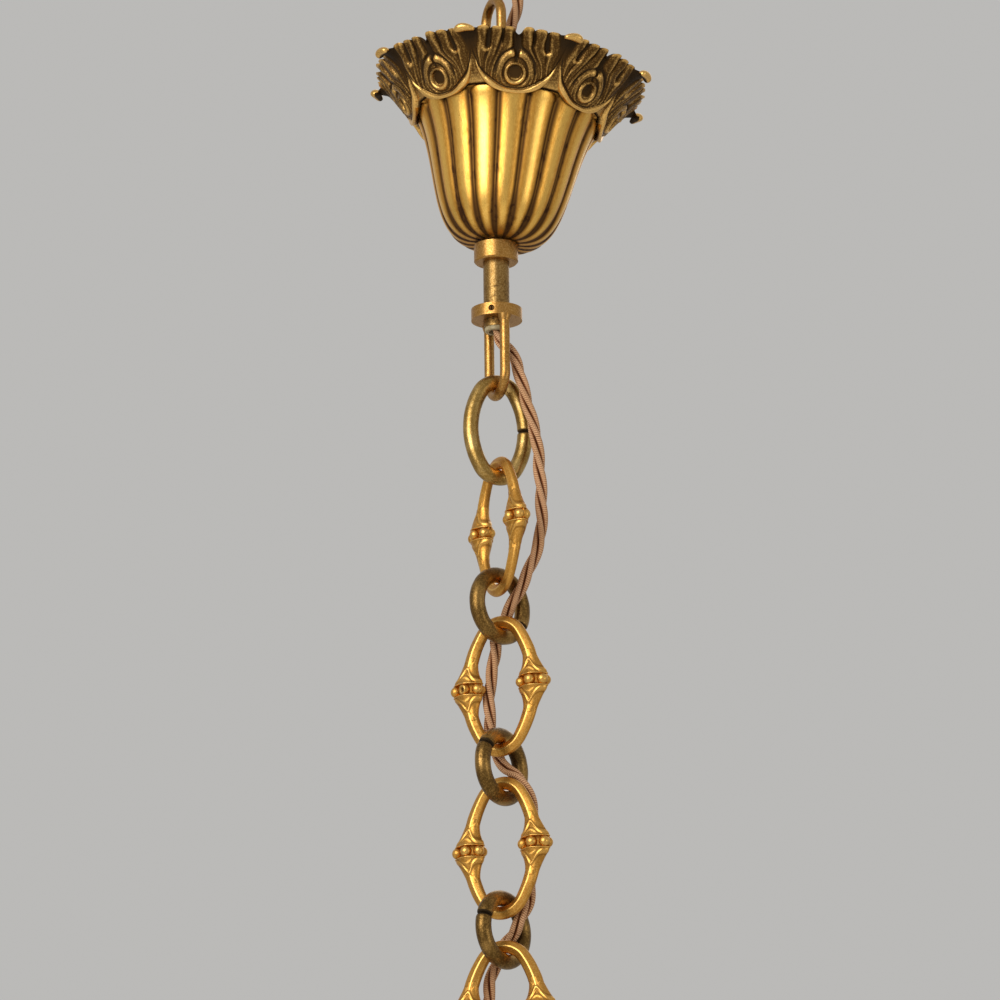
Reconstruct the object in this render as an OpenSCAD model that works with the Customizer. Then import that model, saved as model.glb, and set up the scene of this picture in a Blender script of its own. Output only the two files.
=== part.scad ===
// Suspension of a small chandelier: fluted ceiling canopy with a leaf crown, stem, chain and flex.
// Millimetres, Z up. The origin is where the ceiling hook carries the top loop.
// Seen from the front, X runs to the right and Y runs away from the viewer.

/* [Stem] */
// Outside diameter of the stem tube
stem_d = 10; // [8:0.5:12]
// Bore of the stem tube
stem_bore = 8; // [7:0.25:9]
// Length of the stem tube
stem_len = 107; // [100:1:140]
// Length of tube that stands out past each loop's disc
stem_poke = 3; // [1:0.5:5]
// Gap all round between the stem and what it passes through
stem_fit = 0.1; // [0.05:0.05:0.3]

/* [Loops] */
// Diameter of a loop's disc
disc_d = 19.6; // [17:0.2:24]
// Thickness of a loop's disc
disc_t = 4.6; // [3.6:0.2:6]
// Diameter of the rod that forms the eye
loop_rod = 3.9; // [2.7:0.1:4.4]
// Distance between the middles of the two legs
leg_gap = 16; // [14.5:0.5:18]
// Height of the eye, from the disc to the inside of the bend
eye_h = 28; // [24:1:36]
// How much wider a leg gets where it meets the disc
leg_swell = 1.6; // [0.6:0.2:2]
// Direction of the loops' plane, in degrees from the X axis
loop_turn = -68; // [-90:1:-50]
// Diameter of the lock screws
lock_d = 2.2; // [1.6:0.1:3.4]
// Width of a lock screw's slot
lock_slot = 0.4; // [0.3:0.1:1]
// How far a lock screw sits below the surface
lock_sink = 0.4; // [0.1:0.1:0.8]
// Direction of the loops' lock screws
lock_turn = -102; // [-120:1:-96]

/* [Flex bushes] */
// Diameter of a bush's flange
bush_d = 9.4; // [8.8:0.2:9.8]
// Thickness of a bush's flange
bush_t = 1.5; // [1:0.1:2.5]
// Bore of a bush
bush_bore = 6.4; // [5.8:0.1:6.6]
// Length of a bush inside the tube
bush_plug = 5; // [3:0.5:10]

/* [Collar] */
// Diameter of the collar
collar_d = 17; // [15:0.5:20]
// Height of the collar
collar_h = 7; // [5.6:0.2:9]
// Width of the bevel round the collar's lower edge
collar_bevel = 0.6; // [0.2:0.1:1]
// Bare stem between the collar and the lower disc
collar_lift = 18.9; // [12:0.1:30]

/* [Canopy bell] */
// Height of the bell's curve
bell_h = 50; // [44:1:58]
// Radius of the bell's flat foot
bell_foot = 9; // [8:0.2:10]
// Radius of the bell's mouth at the top, over the reeds
bell_mouth = 35; // [32:0.5:40]
// Height of the straight mouth that runs on from the bell's curve
mouth_h = 2.8; // [1:0.2:3.2]
// Fullness of the cup, as the reach of its lower curve
cup_reach = 27.5; // [24:0.5:30]
// How far the lower part of the side stands in from the mouth
bell_waist = 10; // [6:0.5:12]
// Number of reeds round the bell
reeds = 18; // [12:1:24]
// Depth of the grooves between the reeds at the mouth
reed_depth = 2.2; // [0.8:0.1:2.6]
// Wall behind the grooves
bell_wall = 1.5; // [1.2:0.1:2.5]
// Thickness of the bell's floor
bell_floor = 2.4; // [1.8:0.1:4]
// Bevel between the bell's floor and its wall inside
floor_bevel = 1.6; // [1:0.1:2]
// Diameter of the hole that the stem passes through
bell_hole = 13.4; // [12.6:0.1:14]
// Direction of the first groove
reed_turn = 4.2; // [0:0.1:20]

/* [Leaf crown] */
// Height of the crown above its lower edge
crown_h = 20; // [16:0.5:24]
// Overlap of the crown's lowest points over the bell's curve
crown_lap = 1.4; // [1:0.1:3]
// Width of the flare, from the lower edge to the rim
crown_flare = 15; // [10:0.5:22]
// Thickness of the crown's lower edge
crown_lip = 0.4; // [0.3:0.1:1]
// Gap between the crown and the bell's mouth
crown_fit = 0.15; // [0.1:0.05:0.4]
// How far the crown's lower edge is raised between the palmettes, as a share of its height
edge_lift = 0.155; // [0.1:0.005:0.18]
// Wall of the crown
crown_wall = 1.5; // [1.2:0.1:2.2]
// Number of palmettes
palmettes = 8; // [6:1:10]
// How far the palmettes stand out of the flare
palmette_rise = 1.4; // [0.8:0.1:2]
// How far the curled tips between the palmettes reach past the rim
tip_reach = 5.6; // [3:0.1:7]
// Depth of the notch above each palmette's eye
notch_depth = 1.8; // [0:0.1:3]
// Direction of the first palmette
palmette_turn = -86.3; // [-110:0.1:-70]

/* [Canopy lean] */
// Lean of the loose canopy to the right
canopy_lean = 4.6; // [0:0.1:5]
// Lean of the loose canopy to the back
canopy_nod = 3; // [0:0.1:4]
// Shift of the loose canopy to the right
canopy_shift = 0.9; // [0:0.1:1]

/* [Chain rings] */
// Wire of the rings
ring_wire = 6; // [5:0.5:7]
// Outside diameter of a round ring
ring_outer = 30; // [27:0.5:36]
// Height of the long first ring
long_ring_h = 44; // [38:1:56]
// Width of the long first ring
long_ring_w = 28; // [24:1:36]
// Radius of the bends at the ends of the long ring, at the middle of its wire
long_ring_bend = 8; // [7:0.5:9]
// Width of the sawn split in a ring
ring_split = 0.5; // [0.3:0.1:1.2]
// Stoutness of the long sides of an oval, against its ends
side_swell = 1.03; // [1.02:0.01:1.06]
// Gap at each seat of the chain
seat_gap = 0.05; // [0.02:0.01:0.1]
// Directions of the five rings' planes
ring_turns = [20, 45, 54, 52, 50];
// Places of the splits round the rings, in degrees from each ring's far side
ring_splits = [0, -32, 147, 162, 150];

/* [Chain links] */
// Height of a link
link_h = 55; // [48:1:66]
// Distance between the middles of a link's arms
link_w = 28.4; // [25:0.4:32]
// Radius of the bends at the ends of a link, at the middle of the rod
link_bend = 9.5; // [8:0.5:11]
// Thickness of a link's rod in the link's plane
link_rod = 5; // [4.4:0.2:5.6]
// Depth of a link's rod, ridge to ridge
link_depth = 4.2; // [3.6:0.2:5]
// Directions of the four links' planes
link_turns = [-62, -30, -30, -18];
// Width of the lozenge knop, in the link's plane
knop_w = 15; // [13:0.2:17]
// Depth of the knop
knop_depth = 9.5; // [7:0.1:11]
// Height of the knop's beaded band
knop_h = 5; // [4:0.2:7]
// Height of the leaf cup above and below the band
calyx_h = 9.4; // [6:0.2:12]
// Thickness of the lip above and below the beads
knop_lip = 0.5; // [0.3:0.1:0.8]
// Thickness of a leaf cup's tip, as a share of its root
calyx_tip = 0.32; // [0.25:0.01:0.4]
// Thickness of the upright post at each outer corner of a knop
post_t = 0.9; // [0.6:0.1:1.4]
// Diameter of a bead
bead_d = 3.9; // [3:0.1:4.8]
// Place of the beads on a knop's faces, as a share of the way from its ridges to its outer corners
bead_share = 0.76; // [0.6:0.01:0.9]

/* [Flex] */
// Diameter over the two twisted cores
flex_d = 5.1; // [4:0.1:5.6]
// Width of a two-way connector
connector_w = 10; // [8:0.5:12]
// Thickness of a connector
connector_t = 7; // [6.5:0.5:8]
// Length of a connector
connector_len = 12; // [10:0.5:14]

/* [Hidden] */
$fn = 72;

// Heights along the stem, downwards from the hook's seat
top_disc_z = -eye_h;
stem_top_z = top_disc_z + stem_poke;
stem_bottom_z = stem_top_z - stem_len;
lower_disc_z = stem_bottom_z + stem_poke;
lower_seat_z = lower_disc_z - eye_h;
collar_z = lower_disc_z + disc_t + collar_lift;
foot_z = collar_z + collar_h;

// Heights of the inside top and bottom of each ring and link, each hung on the one above
round_hole = ring_outer - 2 * ring_wire;
long_hole = long_ring_h - 2 * ring_wire;
link_hole = link_h - 2 * link_rod;
ring_1_top = lower_seat_z + seat_gap;
link_1_top = ring_1_top - long_hole + seat_gap;
pitch = link_hole + round_hole - 2 * seat_gap;
function ring_top(i) = link_1_top - link_hole + seat_gap - (i - 2) * pitch;
function link_top(i) = link_1_top - (i - 1) * pitch;

// The bell rests on the collar on one side, so its foot is lifted by the lean
lean = sqrt(canopy_lean * canopy_lean + canopy_nod * canopy_nod);
rest_r = min(bell_foot, collar_d / 2) - canopy_shift * canopy_lean / max(lean, 0.01);
foot_lift = rest_r * sin(lean) + seat_gap;

brass = [0.86, 0.66, 0.3];
old_brass = [0.6, 0.45, 0.2];
bronze = [0.42, 0.34, 0.2];
flex_pink = [0.72, 0.52, 0.45];
pale_fibre = [0.85, 0.8, 0.68];
dark_steel = [0.25, 0.22, 0.2];
clear_white = [0.86, 0.86, 0.83];

// A ring of section points swept once round Z: section(angle) gives the same count at every angle
function turn_points(rows) = [for (row = rows) for (p = row) p];
function turn_faces(turns, count) = [
    for (i = [0 : turns - 1])
        for (j = [0 : count - 1])
            let(a = i * count + j)
            let(b = i * count + (j + 1) % count)
            let(c = ((i + 1) % turns) * count + j)
            let(d = ((i + 1) % turns) * count + (j + 1) % count)
            for (f = [[a, b, d], [a, d, c]]) f
];
function polar(r, angle, z) = [r * cos(angle), r * sin(angle), z];

// The bell's side is one curve from its foot to its mouth, with t from 0 to 1
function curve(p, t) =
    pow(1 - t, 3) * p[0] + 3 * pow(1 - t, 2) * t * p[1] + 3 * (1 - t) * t * t * p[2] + pow(t, 3) * p[3];
function side_r(t) = curve([bell_foot, cup_reach, bell_mouth - bell_waist, bell_mouth], t);
function side_h(t) = curve([0, -0.5, bell_h * 0.6, bell_h], t);
function groove_depth(t) = reed_depth * side_r(t) / bell_mouth * min(1, 4 * t);
mouth_slope = bell_waist / (0.4 * bell_h);
mouth_top_r = bell_mouth + mouth_slope * mouth_h;
function reed_fall(angle) =
    let(x = 2 * abs((angle - reed_turn) * reeds / 360 - floor((angle - reed_turn) * reeds / 360) - 0.5))
    1 - sqrt(1 - 0.96 * x * x);

bell_rows = 12;
bell_steps = 6;
bell_inner_rows = 5;
function bell_section(angle) = concat(
    [for (i = [0 : bell_rows])
        let(t = i / bell_rows)
        polar(side_r(t) - groove_depth(t) * reed_fall(angle), angle, max(0, side_h(t)))],
    [polar(mouth_top_r - reed_depth * reed_fall(angle), angle, bell_h + mouth_h)],
    [polar(mouth_top_r - reed_depth - bell_wall, angle, bell_h + mouth_h)],
    [for (i = [bell_inner_rows : -1 : 0])
        let(t = 0.36 + 0.64 * i / bell_inner_rows)
        polar(side_r(t) - reed_depth - bell_wall, angle, side_h(t) + (i == 0 ? 0.4 : 0))],
    [polar(side_r(0.3) - reed_depth - bell_wall - 1, angle, bell_floor + floor_bevel)],
    [polar(side_r(0.2) - reed_depth - bell_wall - 1, angle, bell_floor)],
    [polar(bell_hole / 2, angle, bell_floor)],
    [polar(bell_hole / 2, angle, 0)]
);

// The crown flares from the bell's mouth, with u from 0 at its lower edge to 1 at its rim
crown_in_r = bell_mouth + crown_fit;
crown_z = bell_h - crown_lap;
palmette_pitch = 360 / palmettes;
function from_palmette(angle) =
    let(x = (angle - palmette_turn) / palmette_pitch)
    (x - floor(x + 0.5)) * palmette_pitch;
function bump(x) = exp(-x * x);
function smooth(x) =
    let(c = min(1, max(0, x)))
    c * c * (3 - 2 * c);
function rim_reach(side) =
    tip_reach * bump((palmette_pitch / 2 - abs(side)) / 4) - notch_depth * bump(side / 3.2);
function leaf_edge(side) =
    let(p = abs(side) * 2 / palmette_pitch)
    0.33 * pow(p, 2.4) + 0.25 * pow(p, 12);
function leaf_rise(side, u) =
    palmette_rise * smooth((u - leaf_edge(side) + 0.04) / 0.1) * smooth((1 - u) / 0.1);
// The lower edge follows the palmettes' round feet and is raised between them
function edge_start(side) = min(0.95 * leaf_edge(side), edge_lift);
function crown_in(z) = crown_in_r + mouth_slope * max(0, z - crown_lap);
function crown_r(side, u) =
    crown_in_r + crown_lip + (crown_wall - crown_lip) * smooth(4 * (u - edge_start(side)))
    + crown_flare * (0.75 * u + 0.25 * u * u) + rim_reach(side) * pow(u, 4);
function crown_height(u) = crown_h * (u - 0.1 * pow(u, 5)) / 0.9;
crown_rows = 9;
crown_steps = 16;
function crown_section(angle) =
    let(side = from_palmette(angle))
    let(start = edge_start(side))
    let(edge_z = crown_height(start))
    concat(
        [for (i = [0 : crown_rows])
            let(u = start + (1 - start) * i / crown_rows)
            let(rise = leaf_rise(side, u))
            polar(crown_r(side, u) + 0.75 * rise, angle, crown_height(u) - 0.6 * rise)],
        [for (i = [5 : -1 : 1])
            let(u = i / 5)
            polar(crown_r(side, u) - crown_wall, angle, crown_height(u) + crown_wall * 0.8)],
        [polar(crown_in(crown_h / 4), angle, crown_h / 4)],
        [polar(crown_in(edge_z), angle, edge_z)]
    );

// Four arcs that meet without a corner: half height a, half width b and end radius r
function side_radius(a, b, r) = (b * b + (a - r) * (a - r) - r * r) / (2 * (b - r));
function meet_angle(a, b, r) = atan2(a - r, side_radius(a, b, r) - b);
end_lap = 3;
// How far a leg runs into its disc, so that the two are one solid
end_sink = 0.2;

// The flex runs past these: the top of each, its height and its width. They are the top loop, the stem,
// the lower loop, and then the rings and links in turn.
flex_places = [
    [0, -stem_top_z, leg_gap],
    [stem_top_z, stem_len, leg_gap],
    [stem_bottom_z, stem_bottom_z - lower_seat_z, leg_gap],
    [ring_1_top, long_hole, long_ring_w],
    [link_top(1), link_hole, link_w],
    [ring_top(2), round_hole, ring_outer],
    [link_top(2), link_hole, link_w],
    [ring_top(3), round_hole, ring_outer],
    [link_top(3), link_hole, link_w],
    [ring_top(4), round_hole, ring_outer],
    [link_top(4), link_hole, link_w]
];
// Points along the flex: the place, the shares of the place's width to the right and to the back, and
// the share of its height downwards
flex_turns = [
    [0, 0.6, -0.06, -0.4], [0, 0.59, -0.06, -0.16], [0, 0.54, -0.06, 0.12], [0, 0.4, -0.05, 0.4],
    [0, 0.2, -0.03, 0.64], [0, 0.05, 0, 0.84],
    [1, 0, 0, 0.01], [1, 0, 0, 0.33], [1, 0, 0, 0.65], [1, 0, 0, 0.9], [1, 0, 0, 0.99],
    [2, 0.08, -0.02, 0.18], [2, 0.29, -0.08, 0.37], [2, 0.45, -0.14, 0.58],
    [3, 0.32, -0.11, -0.11], [3, 0.39, -0.14, 0.16], [3, 0.47, -0.14, 0.44], [3, 0.52, -0.14, 0.65],
    [3, 0.56, -0.13, 1.03],
    [4, 0.57, -0.12, 0.25], [4, 0.57, -0.12, 0.47], [4, 0.53, -0.11, 0.67], [4, 0.43, -0.07, 0.84],
    [5, 0.3, -0.01, 0], [5, 0.2, 0.07, 0.29], [5, 0.12, 0.13, 0.51], [5, 0.03, 0.21, 0.78],
    [5, -0.05, 0.25, 1.09],
    [6, -0.08, 0.27, 0.21], [6, -0.13, 0.28, 0.39], [6, -0.15, 0.28, 0.51], [6, -0.15, 0.27, 0.77],
    [7, -0.11, 0.25, -0.16], [7, -0.05, 0.22, 0.14], [7, 0.06, 0.15, 0.49], [7, 0.21, 0.07, 0.72],
    [7, 0.33, 0.04, 1.08],
    [8, 0.41, 0.06, 0.21], [8, 0.41, 0.12, 0.46], [8, 0.39, 0.13, 0.63], [8, 0.36, 0.05, 0.82],
    [9, 0.31, 0.03, -0.07], [9, 0.22, 0.06, 0.24], [9, 0.13, 0.15, 0.51], [9, 0.02, 0.21, 0.74],
    [9, -0.08, 0.27, 1.06],
    [10, -0.18, 0.32, 0.2], [10, -0.21, 0.35, 0.38], [10, -0.22, 0.4, 0.53], [10, -0.22, 0.42, 0.65]
];
// The route of the flex from its top connector to its lower one
flex_route = [
    for (p = flex_turns)
        let(place = flex_places[p[0]])
        [p[1] * place[2], p[2] * place[2], place[0] - p[3] * place[1]]
];
// First and last point of each stretch of the flex, which meets the next one face to face
flex_cuts = [0, 12, 17, 20, 25, 30, 34, 38, 43, 49];
flex_sides = 8;
function unit(v) = v / norm(v);
function route_dir(i) =
    i == 0 ? [0, 0, -1]
    : i == len(flex_route) - 1 ? [0, 0, -1]
    : unit(flex_route[i + 1] - flex_route[i - 1]);
function flex_ring(i) =
    let(d = route_dir(i))
    let(a = unit(cross(d, [0, 1, 0])))
    let(b = cross(d, a))
    [for (k = [0 : flex_sides - 1])
        flex_route[i] + flex_d / 2 * (cos(360 * k / flex_sides) * a + sin(360 * k / flex_sides) * b)];

module section_sweep(rows) {
    polyhedron(points = turn_points(rows), faces = turn_faces(len(rows), len(rows[0])), convexity = 6);
}

module flex_piece(first, last) {
    rings = last - first + 1;
    sides = [
        for (i = [0 : rings - 2])
            for (k = [0 : flex_sides - 1])
                let(n = (k + 1) % flex_sides)
                for (f = [
                    [i * flex_sides + k, (i + 1) * flex_sides + k, (i + 1) * flex_sides + n],
                    [i * flex_sides + k, (i + 1) * flex_sides + n, i * flex_sides + n]
                ]) f
    ];
    start_cap = [for (k = [1 : flex_sides - 2]) [0, k, k + 1]];
    end_cap = [for (k = [1 : flex_sides - 2]) let(e = (rings - 1) * flex_sides) [e, e + k + 1, e + k]];
    color(flex_pink)
        polyhedron(
            points = [for (i = [first : last]) for (p = flex_ring(i)) p],
            faces = concat(sides, start_cap, end_cap),
            convexity = 6
        );
}

// The canopy stands loose on its collar and leans against the stem
module as_canopy() {
    translate([canopy_shift, 0, foot_z + foot_lift]) rotate([-canopy_nod, canopy_lean, 0]) children();
}

module canopy_bell() {
    steps = reeds * bell_steps;
    step = 360 / steps;
    color(brass)
        as_canopy()
            section_sweep([for (i = [0 : steps - 1]) bell_section(reed_turn + i * step)]);
}

module canopy_crown() {
    steps = palmettes * crown_steps;
    step = 360 / steps;
    color(old_brass)
        as_canopy()
            translate([0, 0, crown_z])
                section_sweep([for (i = [0 : steps - 1]) crown_section(palmette_turn + i * step)]);
}

module canopy_collar() {
    color(brass)
        difference() {
            translate([0, 0, collar_z])
                rotate_extrude()
                    polygon([
                        [stem_d / 2 + stem_fit, 0],
                        [collar_d / 2 - collar_bevel, 0],
                        [collar_d / 2, collar_bevel],
                        [collar_d / 2, collar_h],
                        [stem_d / 2 + stem_fit, collar_h]
                    ]);
            lock_hole(collar_z + collar_h / 2, 90, collar_d / 2);
        }
}

// A tapped hole from the rim to the stem, at a height and in a direction
module lock_hole(z, turn, reach) {
    translate([0, 0, z]) rotate([0, 90, turn]) cylinder(d = lock_d + 2 * stem_fit, h = reach + 1);
}

// A slotted grub screw in such a hole, its point just clear of the stem
module lock_screw(z, turn, reach) {
    inner = stem_d / 2 + stem_fit;
    head = reach - lock_sink;
    color(dark_steel)
        translate([0, 0, z])
            rotate([0, 90, turn])
                difference() {
                    translate([0, 0, inner]) cylinder(d = lock_d, h = head - inner);
                    translate([-lock_d, -lock_slot / 2, head - 2 * lock_slot])
                        cube([2 * lock_d, lock_slot, 3 * lock_slot]);
                }
}

module collar_screw() {
    lock_screw(collar_z + collar_h / 2, 90, collar_d / 2);
}

module stem_tube() {
    color(old_brass)
        translate([0, 0, stem_bottom_z])
            difference() {
                cylinder(d = stem_d, h = stem_len);
                translate([0, 0, -1]) cylinder(d = stem_bore, h = stem_len + 2);
            }
}

// A bored disc with a round eye below it, drawn with the disc's lower face at zero
module loop_piece() {
    bend = leg_gap / 2;
    inside = bend - loop_rod / 2;
    bend_z = -eye_h + inside;
    swell_h = 1.5 * leg_swell;
    color(brass) {
        difference() {
            cylinder(d = disc_d, h = disc_t);
            translate([0, 0, -1]) cylinder(d = stem_d + 2 * stem_fit, h = disc_t + 2);
            lock_hole(disc_t / 2, lock_turn - loop_turn, disc_d / 2);
        }
        for (side = [-1, 1]) {
            translate([side * bend, 0, bend_z]) cylinder(d = loop_rod, h = end_sink - bend_z);
            translate([side * bend, 0, -swell_h])
                cylinder(d1 = loop_rod, d2 = loop_rod + leg_swell, h = swell_h + end_sink);
        }
        translate([0, 0, bend_z])
            rotate([90, 0, 0])
                rotate([0, 0, 180])
                    rotate_extrude(angle = 180) translate([bend, 0]) circle(d = loop_rod);
    }
}

module lower_loop() {
    translate([0, 0, lower_disc_z]) rotate([0, 0, loop_turn]) loop_piece();
}

module top_loop() {
    translate([0, 0, top_disc_z]) rotate([0, 0, loop_turn]) rotate([180, 0, 0]) loop_piece();
}

module lower_lock_screw() {
    lock_screw(lower_disc_z + disc_t / 2, lock_turn, disc_d / 2);
}

// The top loop is the same piece upside down, so its screw lies on the other side of the legs
module top_lock_screw() {
    lock_screw(top_disc_z - disc_t / 2, 2 * loop_turn - lock_turn, disc_d / 2);
}

// A flanged fibre bush, drawn with the flange above the tube's end at zero
module bush() {
    color(pale_fibre)
        rotate_extrude()
            polygon([
                [bush_bore / 2, -bush_plug],
                [stem_bore / 2 - stem_fit, -bush_plug],
                [stem_bore / 2 - stem_fit, 0],
                [bush_d / 2, 0],
                [bush_d / 2, bush_t - 0.3],
                [bush_d / 2 - 0.3, bush_t],
                [bush_bore / 2, bush_t]
            ]);
}

module top_bush() {
    translate([0, 0, stem_top_z]) bush();
}

module lower_bush() {
    translate([0, 0, stem_bottom_z]) rotate([180, 0, 0]) bush();
}

// A round ring of wire with a sawn split, drawn with the inside of its top at zero
module round_ring(top, turn, split) {
    r = (ring_outer - ring_wire) / 2;
    gap = ring_split / r * 180 / PI;
    color(bronze)
        translate([0, 0, top - round_hole / 2])
            rotate([90, 0, turn])
                rotate([0, 0, split + gap / 2])
                    rotate_extrude(angle = 360 - gap) translate([r, 0]) circle(d = ring_wire);
}

// Four arcs of one section in an upright oval, centred at the origin. The long sides are a little
// stouter, and the ends run into them by a few degrees.
module oval_rod(a, b, r) {
    long_r = side_radius(a, b, r);
    meet = meet_angle(a, b, r);
    rotate([90, 0, 0])
        for (flip = [0, 180]) {
            rotate([0, 0, flip])
                translate([0, a - r, 0])
                    rotate([0, 0, meet - end_lap])
                        rotate_extrude(angle = 180 - 2 * (meet - end_lap)) translate([r, 0]) children();
            rotate([0, 0, flip])
                translate([b - long_r, 0, 0])
                    rotate([0, 0, -meet])
                        rotate_extrude(angle = 2 * meet)
                            translate([long_r, 0]) scale(side_swell) children();
        }
}

module ring_1() {
    a = (long_ring_h - ring_wire) / 2;
    b = (long_ring_w - ring_wire) / 2;
    color(bronze)
        translate([0, 0, ring_1_top - long_hole / 2])
            rotate([0, 0, ring_turns[0]])
                difference() {
                    oval_rod(a, b, long_ring_bend) circle(d = ring_wire);
                    translate([b - ring_wire, -ring_wire, -ring_split / 2])
                        cube([2 * ring_wire, 2 * ring_wire, ring_split]);
                }
}

module ring_2() {
    round_ring(ring_top(2), ring_turns[1], ring_splits[1]);
}

module ring_3() {
    round_ring(ring_top(3), ring_turns[2], ring_splits[2]);
}

module ring_4() {
    round_ring(ring_top(4), ring_turns[3], ring_splits[3]);
}

module ring_5() {
    round_ring(ring_top(5), ring_turns[4], ring_splits[4]);
}

// The rod has a ridge on its front and back, and rounded seats inside and outside
module rod_section() {
    w = link_rod / 2;
    d = link_depth / 2;
    polygon([
        [0, d], [-0.78 * w, 0.64 * d], [-w, 0.14 * d], [-w, -0.14 * d], [-0.78 * w, -0.64 * d],
        [0, -d], [0.78 * w, -0.64 * d], [w, -0.14 * d], [w, 0.14 * d], [0.78 * w, 0.64 * d]
    ]);
}

module lozenge(w, d) {
    polygon([[w / 2, 0], [0, d / 2], [-w / 2, 0], [0, -d / 2]]);
}

// A lozenge knop: a bead on its front, on its back and on each face, a post at each outer corner, a lip
// above and below them, and leaf cups
module knop() {
    path_w = (knop_w - bead_d) / 2;
    path_d = (knop_depth - bead_d) / 2;
    linear_extrude(height = knop_h - knop_lip, center = true)
        lozenge(1.3 * path_w + bead_d, 1.3 * path_d + bead_d);
    for (flip = [0, 180])
        rotate([flip, 0, 0])
            translate([0, 0, knop_h / 2 - knop_lip]) {
                linear_extrude(height = knop_lip)
                    lozenge(knop_w - knop_lip, knop_depth - knop_lip / 2);
                linear_extrude(height = calyx_h, scale = calyx_tip)
                    lozenge(knop_w - 2 * knop_lip, knop_depth - knop_lip);
            }
    cube([knop_w - knop_lip, post_t, knop_h - knop_lip], center = true);
    for (sy = [-1, 1]) {
        translate([0, sy * path_d, 0]) sphere(d = bead_d);
        for (sx = [-1, 1])
            translate([sx * bead_share * path_w, sy * (1 - bead_share) * path_d, 0])
                sphere(d = bead_d);
    }
}

module chain_link(i) {
    a = (link_h - link_rod) / 2;
    b = link_w / 2;
    color(brass)
        translate([0, 0, link_top(i) - link_hole / 2])
            rotate([0, 0, link_turns[i - 1]]) {
                oval_rod(a, b, link_bend) rod_section();
                for (side = [-1, 1])
                    translate([side * b, 0, 0]) knop();
            }
}

module link_1() {
    chain_link(1);
}

module link_2() {
    chain_link(2);
}

module link_3() {
    chain_link(3);
}

module link_4() {
    chain_link(4);
}

module flex_stem() {
    flex_piece(flex_cuts[0], flex_cuts[1]);
}

module flex_1() {
    flex_piece(flex_cuts[1], flex_cuts[2]);
}

module flex_2() {
    flex_piece(flex_cuts[2], flex_cuts[3]);
}

module flex_3() {
    flex_piece(flex_cuts[3], flex_cuts[4]);
}

module flex_4() {
    flex_piece(flex_cuts[4], flex_cuts[5]);
}

module flex_5() {
    flex_piece(flex_cuts[5], flex_cuts[6]);
}

module flex_6() {
    flex_piece(flex_cuts[6], flex_cuts[7]);
}

module flex_7() {
    flex_piece(flex_cuts[7], flex_cuts[8]);
}

module flex_8() {
    flex_piece(flex_cuts[8], flex_cuts[9]);
}

// A two-way connector block with a screw well over each core, drawn upwards from zero
module connector() {
    color(clear_white)
        difference() {
            translate([-connector_w / 2, -connector_t / 2, 0])
                cube([connector_w, connector_t, connector_len]);
            for (x = [-1, 1])
                translate([x * connector_w / 4, -connector_t / 2 - 0.1, connector_len / 2])
                    rotate([-90, 0, 0]) cylinder(d = connector_w * 0.3, h = connector_t / 3);
        }
}

module top_connector() {
    translate(flex_route[0]) connector();
}

module lower_connector() {
    translate(flex_route[len(flex_route) - 1])
        rotate([180, 0, link_turns[3]])
            connector();
}

canopy_bell();
canopy_crown();
canopy_collar();
collar_screw();
stem_tube();
top_loop();
top_lock_screw();
lower_loop();
lower_lock_screw();
top_bush();
lower_bush();
ring_1();
link_1();
ring_2();
link_2();
ring_3();
link_3();
ring_4();
link_4();
ring_5();
flex_stem();
flex_1();
flex_2();
flex_3();
flex_4();
flex_5();
flex_6();
flex_7();
flex_8();
top_connector();
lower_connector();
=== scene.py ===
# %% [markdown]
# A fluted canopy, a stem and a beaded chain
#
# This scene dresses the suspension of a small chandelier. From the top it has a loop to hang it by, a
# hollow stem, a canopy with a leaf crown that stands loose on a collar, a second loop, and a chain of
# rings and beaded links with a twisted flex beside it.
#
# Sizes are worked out in millimetres and the meshes are in metres, in the frame of the CAD model: the
# origin is the seat in the top loop, X runs to the right, Y away from the viewer and Z up. The lesson
# goes from the camera through the tools for meshes and materials to the flex, and then to the metal,
# piece by piece.

# %% The frame and its solids
import math

import bpy
import numpy as np
from mathutils import Matrix, Vector


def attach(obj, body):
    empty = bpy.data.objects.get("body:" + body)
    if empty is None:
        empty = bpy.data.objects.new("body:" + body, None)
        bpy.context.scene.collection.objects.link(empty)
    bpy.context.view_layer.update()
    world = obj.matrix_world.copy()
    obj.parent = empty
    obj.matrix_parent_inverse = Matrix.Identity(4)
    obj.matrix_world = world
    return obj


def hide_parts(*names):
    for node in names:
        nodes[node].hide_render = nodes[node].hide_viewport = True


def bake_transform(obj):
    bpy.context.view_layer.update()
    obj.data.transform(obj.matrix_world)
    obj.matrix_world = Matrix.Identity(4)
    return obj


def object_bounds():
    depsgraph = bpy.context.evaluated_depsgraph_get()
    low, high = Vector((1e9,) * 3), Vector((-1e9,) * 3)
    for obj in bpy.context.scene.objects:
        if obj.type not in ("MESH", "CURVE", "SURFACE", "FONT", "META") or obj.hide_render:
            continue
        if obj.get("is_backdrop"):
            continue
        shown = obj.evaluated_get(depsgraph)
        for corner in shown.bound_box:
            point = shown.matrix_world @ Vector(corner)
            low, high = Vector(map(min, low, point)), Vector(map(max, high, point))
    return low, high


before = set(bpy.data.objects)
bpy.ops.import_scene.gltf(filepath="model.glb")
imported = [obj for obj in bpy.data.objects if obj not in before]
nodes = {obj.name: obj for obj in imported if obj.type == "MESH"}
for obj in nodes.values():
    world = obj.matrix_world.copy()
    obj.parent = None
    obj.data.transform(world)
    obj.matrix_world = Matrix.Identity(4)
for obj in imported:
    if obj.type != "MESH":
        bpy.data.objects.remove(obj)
scene = bpy.context.scene
cad_low, cad_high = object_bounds()
print(len(nodes), "solids from", [round(v, 4) for v in cad_low], "to", [round(v, 4) for v in cad_high])

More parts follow.
